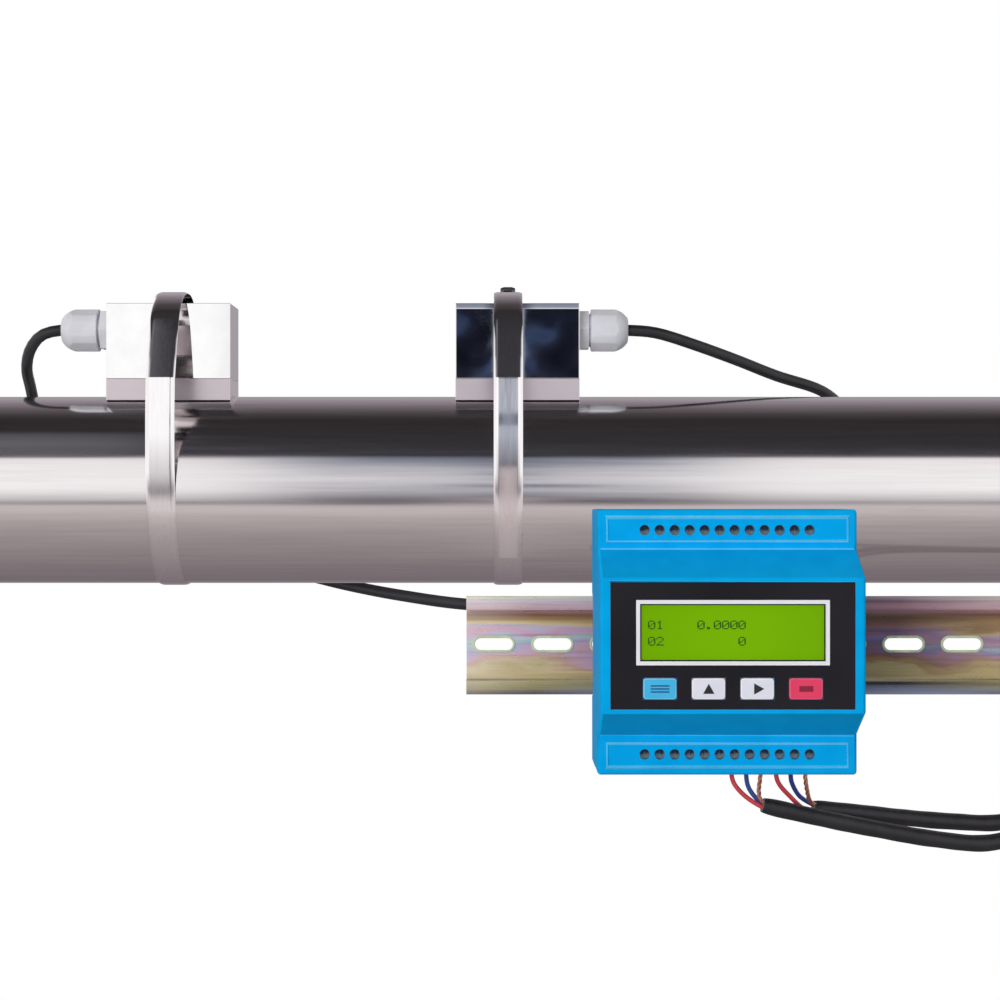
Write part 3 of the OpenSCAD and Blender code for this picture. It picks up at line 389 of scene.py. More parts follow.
def sunk_screws(node):
    """Screws in deep holes, with painted shade darkening each head towards its top."""
    made, tree, shader, where = new_material(f"blued steel of the {node.replace('_', ' ')}")
    low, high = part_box(node)
    up = add(tree, "SeparateXYZ", {"Vector": where}).outputs["Z"]
    share = add(tree, "MapRange", {"Value": up, "From Min": low.z, "From Max": high.z})
    wander = add(tree, "Math", {0: noise(tree, where, 1.1 * mm), 1: 0.5, 2: share},
                 operation="MULTIPLY_ADD")
    # Painted shade: light on the lower half of each head, dark towards its top.
    painted_hole_shade = ramp(tree, wander, [(0.2, "#7f93a8"), (0.6, "#667a90"), (0.8, "#22354b"),
                                (1.0, "#14243a")])
    fill(tree, shader, {"Base Color": painted_hole_shade, "Metallic": 0.6, "Roughness": 0.5})
    return made


print("metals:", mirror_steel.name, ground_steel.name, band_steel.name)

# %% [markdown]
# The pipe is a drawn tube that was polished along its length. Its stripes are sharp but
# not quite straight: the wall waves by a few hundredths of a millimetre, and a few
# scuffs cross the polish. A long slow noise gives the waves, and a thresholded one,
# drawn out on the slant, gives the scuffs.

# %% Pipe finish
polished_tube, tube, tube_shader, tube_where = new_material("polished stainless tube")
scuff_slant, scuff_stretch, scuff_grain = 0.9, 0.12, 7 * mm
streaks = noise(tube, tube_where, 1.6 * mm, 4, along_pipe)
slanted = add(tube, "Mapping", {"Vector": tube_where, "Rotation": (0, scuff_slant, 0),
                                "Scale": (scuff_stretch, 1, 1)})
scuffs = add(tube, "TexNoise", {"Vector": slanted, "Scale": 1 / scuff_grain, "Detail": 4,
                                "Roughness": 0.7})
scuffed = add(tube, "MapRange", {"Value": scuffs, "From Min": 0.64, "From Max": 0.8})
worn = add(tube, "Math", {0: scuffed, 1: 0.22, 2: spread(tube, streaks, 0.09, 0.15)},
           operation="MULTIPLY_ADD")
waves = add(tube, "Bump", {"Height": noise(tube, tube_where, 26 * mm, 1, (0.25, 1, 1)),
                           "Distance": 0.05 * mm, "Strength": 1})
fill(tube, tube_shader, {
    "Metallic": 1, "Base Color": ramp(tube, streaks, [(0.3, "#e8e4e5"), (0.7, "#f3f0f0")]),
    "Roughness": worn, "Normal": waves})
print("pipe finish:", polished_tube.name)

# %% [markdown]
# The rail is zinc-plated steel with a yellow passivation: a film so thin that its
# colour changes with its thickness. The film ran along the rail as it dried, so pink,
# mint, lilac and olive lie in bands, one under the other, that wander a little. The
# height on the rail chooses the colour from a ramp, a slow noise shifts it, and fine
# streaks drawn out along the rail break it up. The ramps also hold painted light: dark
# lines of painted shadow where the folds shade the web, and a painted highlight on the
# top lip. A second ramp is the film in painted shade. It is mixed in along the length, so
# the rail darkens towards and behind the case and lightens again at its right end, and
# a painted highlight whitens its left end.

# %% Rail finish
rail_low, rail_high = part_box("din_rail")
rainbow, film, film_shader, film_where = new_material("yellow-passivated zinc")
along, _, up = add(film, "SeparateXYZ", {"Vector": film_where}).outputs
height = add(film, "MapRange", {"Value": up, "From Min": rail_low.z,
                                "From Max": rail_high.z})
# Painted shade and painted highlight along the rail: the film darkens towards and behind the
# case, lightens again at its right end, and whitens at its left end.
under_top, over_foot, painted_shade_rise, lighter, painted_highlight_end = [
    add(film, "MapRange", {"Value": value, "From Min": start, "From Max": end,
                           "To Max": full})
    for value, start, end, full in (
        (height, 0.76, 0.62, 1), (height, 0.15, 0.25, 1), (along, -4 * mm, 76 * mm, 1),
        (along, 142 * mm, 178 * mm, 0.45), (along, 12 * mm, -12 * mm, 0.25))]
runs = noise(film, film_where, 22 * mm, 4, (0.4, 1, 1))
cloud = noise(film, film_where, 7 * mm, 5, (0.3, 1, 1))
film_lines = noise(film, film_where, 0.9 * mm, 4, (0.025, 1, 1))
web_low, web_high = 0.17, 0.74
on_web = add(film, "Math", {0: under_top, 1: over_foot}, operation="MULTIPLY")
drift = add(film, "Math", {0: spread(film, runs, -0.13, 0.19),
                           1: spread(film, cloud, -0.07, 0.07)}, operation="ADD")
drifted = add(film, "Math", {0: drift, 1: on_web, 2: height}, operation="MULTIPLY_ADD")
lowest = add(film, "Math", {0: height, 1: web_low}, operation="MINIMUM")
highest = add(film, "Math", {0: height, 1: web_high}, operation="MAXIMUM")
film_place = add(film, "Clamp", {"Value": drifted, "Min": lowest, "Max": highest})
# The lit film by height. Its dark stops at the foot and under the top lip are painted shadow
# of the folds, and its pale top lip is a painted highlight.
pale = ramp(film, film_place, [
    (0.0, "#3c3229"), (0.03, "#6b5c48"), (0.06, "#a89a66"), (0.12, "#c2b47c"),
    (0.17, "#d6c08c"), (0.23, "#ead8aa"), (0.28, "#e6bba8"), (0.34, "#e6bfd6"),
    (0.4, "#c6c2e6"), (0.46, "#c4e8dc"), (0.53, "#dcc3e4"), (0.59, "#ecb6c2"),
    (0.64, "#d2c8e6"), (0.69, "#ecd59c"), (0.765, "#b08a58"), (0.8, "#8a5f48"),
    (0.83, "#b58a86"), (0.87, "#e0b8b8"), (0.93, "#e6d2dd"), (1.0, "#f6f4dc")])
# The film in painted shade, with its own painted shadow lines along the folds.
deep = ramp(film, film_place, [
    (0.0, "#98a0b8"), (0.05, "#79829c"), (0.09, "#5a6376"), (0.105, "#1c1a19"),
    (0.13, "#26221e"), (0.14, "#b3a880"), (0.165, "#9c9068"), (0.19, "#7a6340"),
    (0.23, "#785a3f"), (0.28, "#644438"), (0.34, "#6a4c6a"), (0.4, "#4f476c"),
    (0.46, "#665c8c"), (0.52, "#7c505c"), (0.58, "#524a76"), (0.65, "#74505c"),
    (0.71, "#644438"), (0.765, "#4a342c"), (0.8, "#5f4636"), (0.83, "#86646c"),
    (0.9, "#a07a86"), (0.95, "#7b5d6b"), (1.0, "#a9a0a8")])
# How much painted shade each stretch of the rail takes.
depth = add(film, "Math", {0: painted_shade_rise, 1: lighter}, operation="SUBTRACT")
streaked = ramp(film, spread(film, film_lines, 0, 1),
                [(0, "#dddddd"), (0.5, "#fafafa"), (1, "#ffffff")])
film_colour = pale
for share, colour, laid in ((depth, deep, "MIX"), (1.0, streaked, "MULTIPLY"),
                            (painted_highlight_end, linear("#fff8f4"), "MIX")):
    film_colour = add(film, "Mix", {"Factor": share, 6: film_colour, 7: colour},
                      data_type="RGBA", blend_type=laid).outputs[2]
film_relief = add(film, "Bump", {"Height": film_lines, "Distance": 0.004 * mm,
                                 "Strength": 1})
fill(film, film_shader, {
    "Metallic": 0.35, "Base Color": film_colour, "Roughness": spread(film, cloud, 0.24, 0.36),
    "Normal": film_relief})
# A painted highlight for the burr round each slot: the light on the slot's inner wall.
punched = plastic("punched edge with painted highlight", "#dfe3b8", "#a9c2a6", 0.35, drift=5 * mm)
print("rail finish:", rainbow.name)

# %% [markdown]
# The plastics. The case is ABS with a fine spark-eroded grain, the front is a printed
# polyester film, the keys are painted caps, the glands are polyamide, and the wires and
# cables have soft PVC over their copper.

# %% Plastic finishes
case_blue = plastic("moulded blue ABS", "#08aef2", "#02a6ea", 0.55, shine=0.03)
# A paler blue for the small edge radii and the ribs: a painted highlight.
painted_case_edge = plastic("blue ABS edge with painted highlight", "#5accf8", "#46c2f2", 0.3)
film_black = plastic("black polyester film", "#232127", "#18171d", 0.38, 0.3 * mm,
                     0.003 * mm, 0.15, 30 * mm)
print_white = plastic("white screen print", "#f3f3f8", "#ececf3", 0.55, 0.3 * mm, 0.003 * mm)
key_blue = plastic("light blue key cap", "#46bdee", "#3cb6ea", 0.4)
# The rims' paler colours are painted highlights on the keys' round front edges.
painted_blue_rim = plastic("light blue key rim with painted highlight", "#84d9fb", "#78d2f8", 0.35)
key_white = plastic("white key cap", "#eaebf7", "#e4e5f3", 0.4)
painted_white_rim = plastic("white key rim with painted highlight", "#ffffff", "#fafaff", 0.35)
key_red = plastic("red key cap", "#ec4069", "#e53a63", 0.4)
painted_red_rim = plastic("red key rim with painted highlight", "#f4668a", "#f05c80", 0.35)
print_black = plastic("black key print", "#232127", "#1c1b20", 0.5)
print_blue = plastic("dark blue key print", "#1c5c8c", "#185482", 0.5)
print_red = plastic("dark red key print", "#8f1b38", "#861833", 0.5)
gland_grey = plastic("light grey polyamide", "#dedee4", "#d4d4da", 0.42, 0.7 * mm)
seal_black = plastic("black nitrile rubber", "#1f1f20", "#19191a", 0.7)
jacket = plastic("black PVC jacket", "#26262a", "#1c1c1f", 0.42, 0.6 * mm, 0.02 * mm)
shrink = plastic("black heat-shrink sleeve", "#252429", "#1a1a1e", 0.42, 2.2 * mm, 0.14 * mm,
                 drift=14 * mm)
wire_red = plastic("red wire insulation", "#d2404c", "#c43541", 0.4)
wire_blue = plastic("blue wire insulation", "#22408f", "#1c3780", 0.4)
bare_wire = metal("bare copper strands", "#c58a76", "#a86c5c", 0.35, 0.1, 0.4 * mm)
part_black = plastic("black thermoplastic", "#2a2a2c", "#212123", 0.5)
nylon = plastic("natural nylon", "#e9e6dc", "#ddd9cd", 0.45)
terminal_green = plastic("green polyamide block", "#2f7d4a", "#276f40", 0.5)
relay_blue = plastic("blue relay case", "#3a62a8", "#31589c", 0.35)
amber = plastic("amber polyetherimide wedge", "#b2702c", "#a26223", 0.2)
disc_ceramic = plastic("silvered ceramic disc", "#c9bd9a", "#b9ac86", 0.45)
lead_red = plastic("red lead insulation", "#c8323a", "#b82b33", 0.45)
light_guide = plastic("light guide", "#b6d95c", "#a8cd48", 0.3)
print("plastics from", case_blue.name, "to", light_guide.name)

# %% [markdown]
# Mirrors skip the cables below the pipe, as they skip the case. To a mirror, a lead down
# there is clear. A coil has too many turns for that, so to a mirror it glows with the grey
# of the room below, a painted reflection. Where the cable is, and which ray asks, chooses
# between the three.

# %% Cables that the mirrors skip
low_cable, coil_from = -20 * mm, 34 * mm
cord = jacket.node_tree
cord_x, _, cord_z = add(cord, "SeparateXYZ", {
    "Vector": add(cord, "TexCoord").outputs["Object"]}).outputs
in_coil = add(cord, "Math", {0: cord_x, 1: coil_from}, operation="GREATER_THAN")
is_low = add(cord, "Math", {0: cord_z, 1: low_cable}, operation="LESS_THAN")
# To mirrors, a lead is clear and a coil glows grey: a painted reflection of the room.
clear_lead_glowing_coil = add(cord, "MixShader", {0: in_coil, 1: add(cord, "BsdfTransparent"),
                                 2: add(cord, "Emission", {"Color": linear("#7c7276")})})
unmirrored = add(cord, "Math", {0: is_low, 1: add(cord, "LightPath").outputs["Is Glossy Ray"]},
                 operation="MULTIPLY")
cord_mix = add(cord, "MixShader", {0: unmirrored, 1: cord.nodes["Principled BSDF"],
                                   2: clear_lead_glowing_coil})
fill(cord, cord.nodes["Material Output"], {"Surface": cord_mix})
print("mirrors skip the cables below", round(low_cable / mm), "mm")

# %% [markdown]
# The lit display and the circuit boards have patterns of their own. The display glows
# a little brighter in its middle, where its lamp is, and a thin black border is painted
# round it: painted shade where the frame's recess shades the glass. A board is green
# lacquer over copper: its tracks show through as lines of a lighter green, and a brick
# pattern draws them.

# %% Display and board finishes
lit_green, glow, glow_shader, glow_where = new_material("lit display")
glow_low, glow_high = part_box("display_glass")
glow_middle = (glow_low + glow_high) / 2
from_middle = add(glow, "VectorMath", {0: glow_where, 1: tuple(glow_middle)},
                  operation="DISTANCE").outputs["Value"]
glow_share = add(glow, "MapRange", {"Value": from_middle, "To Max": 1,
                                    "From Max": (glow_high - glow_low).x / 2})
glow_x, _, glow_z = add(glow, "SeparateXYZ", {"Vector": glow_where}).outputs
border = 0.45 * mm
past = []
for place, axis in ((glow_x, 0), (glow_z, 2)):
    half = (glow_high - glow_low)[axis] / 2
    off = add(glow, "Math", {0: place, 1: glow_middle[axis]}, operation="SUBTRACT")
    off = add(glow, "Math", {0: off}, operation="ABSOLUTE")
    past.append(add(glow, "Math", {0: off, 1: half - border}, operation="GREATER_THAN"))
# Painted shade: a thin black border round the glass, where the frame's recess shades it.
painted_recess_border = add(glow, "Math", {0: past[0], 1: past[1]}, operation="MAXIMUM")
glow_colour = add(glow, "Mix", {
    "Factor": painted_recess_border, 6: ramp(glow, glow_share, [(0, "#76b200"), (1, "#6fa900")]),
    7: linear("#17180f")}, data_type="RGBA").outputs[2]
fill(glow, glow_shader, {
    "Base Color": glow_colour, "Emission Color": glow_colour, "Emission Strength": 0.12,
    "Roughness": 0.25, "Specular IOR Level": 0.08})
digit_green = plastic("dark display dots", "#265a0c", "#1f5008", 0.4, shine=0.2)

board_green, lacquer, lacquer_shader, lacquer_where = new_material("lacquered circuit board")
tracks = add(lacquer, "TexBrick", {"Vector": lacquer_where, "Scale": 1 / (6 * mm),
                                   "Mortar Size": 0.03, "Color1": linear("#14602f"),
                                   "Color2": linear("#125428"), "Mortar": linear("#2f8a4a")})
raised = add(lacquer, "Bump", {"Height": tracks.outputs["Fac"], "Distance": 0.03 * mm,
                               "Strength": 1})
fill(lacquer, lacquer_shader, {
    "Base Color": tracks,
    "Roughness": spread(lacquer, noise(lacquer, lacquer_where, 3 * mm), 0.25, 0.4),
    "Normal": raised})
print("display and board finishes made")

# %% [markdown]
# Each transducer has one unbroken cable. It leaves the gland, passes behind the pipe,
# lies in a coil behind the rail, and comes back under the case, where its last stretch
# wears a thicker sleeve. A cable keeps its length, so its route is a line of listed
# points, joined by one smooth curve, with the coil's turns worked out between.

# %% Routes
def spline_point(p0, p1, p2, p3, t):
    """A point of the smooth curve between p1 and p2."""
    return 0.5 * (2 * p1 + (p2 - p0) * t + (2 * p0 - 5 * p1 + 4 * p2 - p3) * t ** 2
                  + (3 * p1 - p0 - 3 * p2 + p3) * t ** 3)


def smooth_route(points, steps=10):
    """The smooth curve through points in millimetres, as points in metres."""
    held = [Vector(p) * mm for p in points]
    last = len(held) - 1
    line = [spline_point(held[max(i - 1, 0)], held[i], held[i + 1], held[min(i + 2, last)],
                         s / steps) for i in range(last) for s in range(steps)]
    return line + [held[-1]]


def length_of(line):
    """The length of a line of points."""
    return sum((b - a).length for a, b in zip(line, line[1:]))


def even_route(line, step):
    """The same line with its points an even step apart."""
    count = round(length_of(line) / step)
    step = length_of(line) / count
    made, walked = [line[0]], 0.0
    for a, b in zip(line, line[1:]):
        run = (b - a).length
        while run > 0 and walked + run >= len(made) * step and len(made) < count:
            made.append(a.lerp(b, (len(made) * step - walked) / run))
        walked += run
    return made + [line[-1]]


cable_width, sleeve_width, wire_width = 4.3 * mm, 5.8 * mm, 1.6 * mm
left_lead = [(-142, 0, 60), (-155, 0, 60), (-166, 0, 60), (-173, 0.5, 58),
             (-177.5, 2, 52.5), (-179.5, 6, 46), (-180, 14, 40), (-180, 24, 31.5),
             (-177, 33, 20), (-170, 38, 6), (-159, 39.5, -7), (-143, 38, -16),
             (-122, 34, -22.5), (-98, 28, -28), (-76, 20, -32.5), (-57, 10, -36.5),
             (-36, -8, -39.5), (-12, -26, -41.8), (14, -32, -42), (40, -33.6, -40.5),
             (66, -33.6, -38.2), (80, -33.6, -37.7)]
right_lead = [(25.5, 0, 60), (38, 0, 60), (50, 0, 60), (60, 0.8, 58.9), (74, 4, 54.8),
              (90, 9, 49.5), (106, 14.5, 43.8), (124, 21, 38.5), (134, 28, 31),
              (141, 35, 20), (145, 39, 7), (146, 40, -7), (144, 38, -20),
              (139, 31.5, -29), (133.5, 22.5, -36.5), (128.5, 11, -42.5),
              (125.2, 2.2, -48), (124.3, -0.2, -54.5)]
left_tail = [(108, -20, -39), (119, -23.5, -42.5), (130, -29, -45.8), (142, -33, -46.5),
             (156, -33.6, -46.5), (172, -33.6, -47), (188, -33.6, -52.3),
             (200.5, -35, -63.5), (207, -39.5, -80), (206, -45.5, -97), (199, -50.5, -110),
             (187.5, -55.5, -118.8), (170, -60, -123.2), (150, -63.5, -121.2),
             (128, -66.8, -117), (108, -70, -112.6), (89.9, -72, -108.3)]
right_tail = [(108, -14.4, -38.8), (118.5, -14.6, -43.2), (126.5, -17, -50),
              (132, -21.5, -57.5), (139, -27.5, -62.8), (149, -32, -64.5),
              (162, -33.6, -64.6), (176, -33.6, -65.4), (188.5, -33.6, -69.2),
              (198, -34.8, -77), (202.5, -38.5, -88), (200.5, -43, -101),
              (192, -47.5, -112), (177, -51.5, -117.2), (158, -54, -116.6),
              (140, -57, -114.7), (124, -60, -112.6), (108.7, -62, -110.7)]
print("route points:", len(left_lead) + len(right_lead) + len(left_tail) + len(right_tail))

# %% [markdown]
# A hand-wound coil is a spiral that runs inwards in one layer, steps to the next, and
# runs outwards again. Each turn lies a little more than a cable's width from the last.

# %% Coils
coil_pitch, coil_gap = 4.75, 0.2
coil_layers, coil_outer = 4, 32
coil_x, coil_z = 92.3, -69.7
points_a_loop, climb_turns = 60, 0.5


def coil_layer(t, turns):
    """The layer at t loops, with a soft step where the spiral turns back."""
    k = round(t / turns)
    off = t - k * turns
    if 1 <= k <= coil_layers - 1 and abs(off) < climb_turns / 2:
        u = off / climb_turns + 0.5
        return k - 1 + u * u * (3 - 2 * u)
    return min(max(math.floor(t / turns), 0), coil_layers - 1)


def coil_route(loops, start_angle, first_y, pitch_y):
    """A coil's centre line, with a short straight start and end, in millimetres."""
    turns = loops / coil_layers
    count = round(loops * points_a_loop)
    line = []
    for i in range(count + 1):
        t = i * loops / count
        share = (t / turns) % 1
        inwards = math.floor(t / turns) % 2 == 0
        r = coil_outer - coil_pitch * turns * (share if inwards else 1 - share)
        a = math.radians(start_angle - 360 * t)
        line.append(Vector((coil_x + r * math.cos(a), first_y + coil_layer(t, turns) * pitch_y,
                            coil_z + r * math.sin(a))))
    start, end = math.radians(start_angle), math.radians(start_angle - 360 * loops)
    straight = cable_width / mm
    line[0] -= straight * Vector((math.sin(start), 0, -math.cos(start)))
    line[-1] += straight * Vector((math.sin(end), 0, -math.cos(end)))
    return line


coil_deep = (coil_layers - 1) * coil_pitch
left_coil_y = -33.65
right_coil_y = left_coil_y + coil_deep + coil_pitch + coil_gap
left_coil = coil_route(12, 90, left_coil_y, coil_pitch)
right_coil = coil_route(11.75, 0, right_coil_y + coil_deep, -coil_pitch)
print("coil lengths in m:", round(length_of(left_coil) * mm, 3),
      round(length_of(right_coil) * mm, 3))

# %% [markdown]
# A cable is a curve with a round bevel: its line is the cable's real centre line, so its
# length can be measured. Its jacket is black and plain.


def dress(made, finish, *nodes):
    """A new piece takes its finish, rides with the CAD nodes that it stands for."""
    scene.collection.objects.link(made)
    made.data.materials.append(finish)
    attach(made, frame["nodes"][nodes[0]]["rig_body"])
    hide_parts(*nodes)
    return made


def round_curve(name, line, width, swell=None, ring=6):
    """A round bar along a line, whose width can swell from point to point."""
    curve = bpy.data.curves.new(name, "CURVE")
    curve.dimensions = "3D"
    curve.bevel_depth = width / 2
    curve.bevel_resolution = ring
    curve.use_fill_caps = True
    spline = curve.splines.new("POLY")
    spline.points.add(len(line) - 1)
    for i, (point, spot) in enumerate(zip(spline.points, line)):
        point.co = (*spot, 1)
        point.radius = swell(i) if swell else 1
    spline.use_smooth = True
    return bpy.data.objects.new(name, curve)


def cable_route(lead, coil, tail):
    """The whole centre line of a cable in metres."""
    to_coil = smooth_route(lead + [coil[0]])
    from_coil = smooth_route([coil[-1]] + tail)
    wound = [p * mm for p in coil[1:-1]]
    return even_route(to_coil, 3 * mm) + wound + even_route(from_coil, 3 * mm)


cable_lines = {"left": cable_route(left_lead, left_coil, left_tail),
               "right": cable_route(right_lead, right_coil, right_tail)}
cables = {side: dress(round_curve(f"{side}_cable", line, cable_width), jacket,
                      f"{side}_lead", f"{side}_coil", f"{side}_tail")
          for side, line in cable_lines.items()}
print("cable lengths in m:", [round(length_of(line), 3) for line in cable_lines.values()])

# %% [markdown]
# The sleeves were shrunk on by hand with hot air, so their width wanders a little, and
# their ends are drawn in round the wires.

# %% Sleeves
sleeve_step = 1.5 * mm
end_pinch, pinch_points, wander = 0.16, 1.2, 0.012


def sleeve(side, coil, tail, thin_share):
    """The sleeve over the last stretch of a cable, from a share of its tail on."""
    line = even_route(smooth_route([coil[-1]] + tail), sleeve_step)
    line = line[round((len(line) - 1) * thin_share):]
    last = len(line) - 1

    def swell(i):
        drawn_in = 1 - end_pinch * math.exp(-min(i, last - i) / pinch_points)
        return drawn_in * (1 + wander * math.sin(i * 0.9) + wander * math.sin(i * 0.37 + 1))

    bar = round_curve(f"{side}_heat_shrink", line, sleeve_width, swell, 8)
    return dress(bar, shrink, f"{side}_sleeve")


sleeves = {"left": sleeve("left", left_coil, left_tail, 0.52),
           "right": sleeve("right", right_coil, right_tail, 0.6)}
print("sleeves:", [made.name for made in sleeves.values()])

# %% [markdown]
# Out of each sleeve come a red and a blue wire and the bare screen. The screen's strands
# are twisted by hand into a cord, so it is drawn as three strands round one line.

# %% Terminal wires
wire_routes = {
    "left": [[(79.5, -69.5, -90), (79.5, -69.5, -97.5), (80.6, -70, -101.5),
              (84, -71, -105.3), (88, -71.9, -108), (90.6, -72.2, -109.3)],
             [(84.6, -69.5, -90), (84.6, -69.5, -98), (85.4, -69.8, -102.5),
              (88, -70.8, -106.2), (90.6, -71.1, -107.6)],
             [(89.7, -69.5, -90), (89.5, -69.8, -98), (88.8, -71, -103),
              (89, -72.4, -106), (90.4, -73, -107.4)]],
    "right": [[(94.8, -69.5, -90), (94.8, -69.5, -97.5), (96, -69.5, -101.5),
               (100, -68, -106), (104.8, -65, -110.4), (109.4, -62.5, -112)],
              [(99.9, -69.5, -90), (99.9, -69.3, -98), (100.9, -67.3, -102),
               (104, -64, -106.6), (109.3, -61, -110)],
              [(104.9, -69.5, -90), (104.9, -69.5, -98), (105.6, -68.3, -103),
               (107, -65.6, -107.6), (109.4, -63.1, -109.7)]]}
strand_turn, strand_off, strand_share = 0.5, 0.26, 0.5


def strand(line, number):
    """One of three strands twisted round a line."""
    made = []
    for i, spot in enumerate(line):
        ahead = (line[min(i + 1, len(line) - 1)] - line[max(i - 1, 0)]).normalized()
        side = ahead.orthogonal().normalized()
        turned = Matrix.Rotation(i * strand_turn + number * math.tau / 3, 3, ahead)
        made.append(spot + turned @ side * wire_width * strand_off)
    return made


def terminal_wires(side, red, blue, screen):
    """The three wires of a cable: two insulated ones and the twisted screen."""
    bars = [(round_curve(f"{side}_{name}_wire", even_route(smooth_route(points), mm),
                         wire_width), finish)
            for name, points, finish in (("red", red, wire_red), ("blue", blue, wire_blue))]
    line = even_route(smooth_route(screen), 0.5 * mm)
    bars += [(round_curve(f"{side}_screen_strand_{number + 1}", strand(line, number),
                          wire_width * strand_share, ring=2), bare_wire)
             for number in range(3)]
    return [dress(bar, finish, f"{side}_wires") for bar, finish in bars]


ends = {side: terminal_wires(side, *routes) for side, routes in wire_routes.items()}
gland_mouth = 6
for side, length in (("left", 2.53), ("right", 2.33)):
    tuple(cable_lines[side][gland_mouth])
    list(ends[side])
print("wires:", sum(len(wires) for wires in ends.values()))

# %% [markdown]
# A frame part comes in as loose triangles with knife edges. Where its shape is right, a
# merged copy is worked on: doubles go, flat faces become whole again, and every sharp
# edge gets the small radius that a tool or a file leaves. Light catches on such edges,
# and they make a plain box look real. A weighted normal keeps the faces flat.

# %% Rounded copies
def copy_of(node):
    """The merged mesh of a frame part, with whole faces."""
    bm = bmesh.new()
    bm.from_mesh(frame["nodes"][node].data)
    bmesh.ops.remove_doubles(bm, verts=bm.verts, dist=0.004 * mm)
    bmesh.ops.dissolve_limit(bm, angle_limit=math.radians(0.3), verts=bm.verts,
                             edges=bm.edges)
    return bm


def round_edges(bm, radius, segments=2, over=30, keep=lambda edge: True, finish=0):
    """Rounds the edges that turn by more than an angle."""
    sharp = [e for e in bm.edges if len(e.link_faces) == 2
             and e.calc_face_angle() > math.radians(over) and keep(e)]
    made = bmesh.ops.bevel(bm, geom=sharp, offset=radius, affect="EDGES", segments=segments,
                           profile=0.5, material=-1, clamp_overlap=True)
    for face in made["faces"]:
        face.material_index = finish
    return bm


def piece(name, bm, finish, *nodes, sharp=40, painted_edge_highlight=None):
    """A finished piece from a bmesh, in place of the frame parts that it stands for."""
    mesh = bpy.data.meshes.new(name)
    bm.to_mesh(mesh)
    bm.free()
    mesh.shade_smooth()
    mesh.set_sharp_from_angle(angle=math.radians(sharp))
    made = bpy.data.objects.new(name, mesh)
    weigh = made.modifiers.new("flat faces", "WEIGHTED_NORMAL")
    weigh.keep_sharp = True
    dress(made, finish, *nodes)
    if painted_edge_highlight:
        made.data.materials.append(painted_edge_highlight)
    return made


def rounded(name, node, finish, radius, segments=2, over=30):
    """A finished copy of a frame part with small radii on its edges."""
    return piece(name, round_edges(copy_of(node), radius, segments, over), finish, node)


def all_of(bm):
    """Every vertex, edge and face of a bmesh."""
    return bm.verts[:] + bm.edges[:] + bm.faces[:]


def cut(bm, way, place):
    """Cuts the faces at a place along an axis, and keeps both sides."""
    bmesh.ops.bisect_plane(bm, geom=all_of(bm), dist=1e-7, plane_co=Vector(way) * place,
                           plane_no=way)


print("frame triangles:", sum(len(n.data.polygons) for n in frame["nodes"].values()))

# %% [markdown]
# The pipe is a turned ring: a four-sided profile of its wall, with its corners cut, is
# spun once round the axis. A spin gives clean rings, so the stripes run true.

# %% Pipe
pipe_low, pipe_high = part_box("pipe_section")
pipe_radius, pipe_steps = pipe_high.z, 144
pipe_wall, cut_edge = 2 * mm, 0.35 * mm
pipe_bm = bmesh.new()
profile = [(pipe_low.x + cut_edge, pipe_radius), (pipe_high.x - cut_edge, pipe_radius),
           (pipe_high.x, pipe_radius - cut_edge), (pipe_high.x, pipe_radius - pipe_wall),
           (pipe_low.x, pipe_radius - pipe_wall), (pipe_low.x, pipe_radius - cut_edge)]
corners = [pipe_bm.verts.new((x, 0, z)) for x, z in profile]
wall = [pipe_bm.edges.new((a, b)) for a, b in zip(corners, corners[1:] + corners[:1])]
bmesh.ops.spin(pipe_bm, geom=corners + wall, cent=(0, 0, 0), axis=(1, 0, 0),
               angle=math.tau, steps=pipe_steps, use_merge=True)
bmesh.ops.recalc_face_normals(pipe_bm, faces=pipe_bm.faces)
pipe = piece("pipe", pipe_bm, polished_tube, "pipe_section", sharp=30)
print("pipe faces:", len(pipe.data.polygons))

# %% [markdown]
# The transducers: a buffed housing on a ground shoe. The buffing wheel rounds a housing
# more than a mill rounds a shoe. On the right housing it was held a little askew, and
# the front leans back along its top, where it catches a pale strip of the room.

# %% Transducers
slant_tall, slant_deep = 1.9 * mm, 0.5 * mm
for side in ("left", "right"):
    housing = copy_of(f"{side}_housing")
    if side == "right":
        top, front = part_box("right_housing")[1].z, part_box("right_housing")[0].y
        cut(housing, (0, 0, 1), top - slant_tall)
        upper_front = [v for v in housing.verts if v.co.z > top - mm and v.co.y < front + mm]
        bmesh.ops.translate(housing, verts=upper_front, vec=(0, slant_deep, 0))
    round_edges(housing, 0.6 * mm, 3, 10)
    piece(f"{side}_case_steel", housing, mirror_steel, f"{side}_housing")
    rounded(f"{side}_shoe_steel", f"{side}_shoe", ground_steel, 0.3 * mm)
print("transducers dressed")

# %% [markdown]
# Each gland is moulded: a body with a hexagon, and a domed nut whose flats fade into
# the dome. Both copies get soft moulded edges.

# %% Glands
for side in ("left", "right"):
    rounded(f"{side}_gland_hexagon", f"{side}_gland_body", gland_grey, 0.35 * mm)
    rounded(f"{side}_gland_cap", f"{side}_gland_nut", gland_grey, 0.4 * mm, 3, 25)
print("glands dressed")

# %% [markdown]
# The straps are thin rolled bands. Their long edges are rolled back towards the pipe,
# so that they can't cut a hand, and each edge catches a bright line. The merged copy is
# cut lengthwise in steps near both edges, and each cut line is pressed in a little
# deeper than the last. Their buckles and worm screws sit at the back.

# %% Straps
edge_roll = [(0, 0.46), (0.3, 0.3), (0.65, 0.17), (1.05, 0.08), (1.5, 0.02), (1.9, 0)]


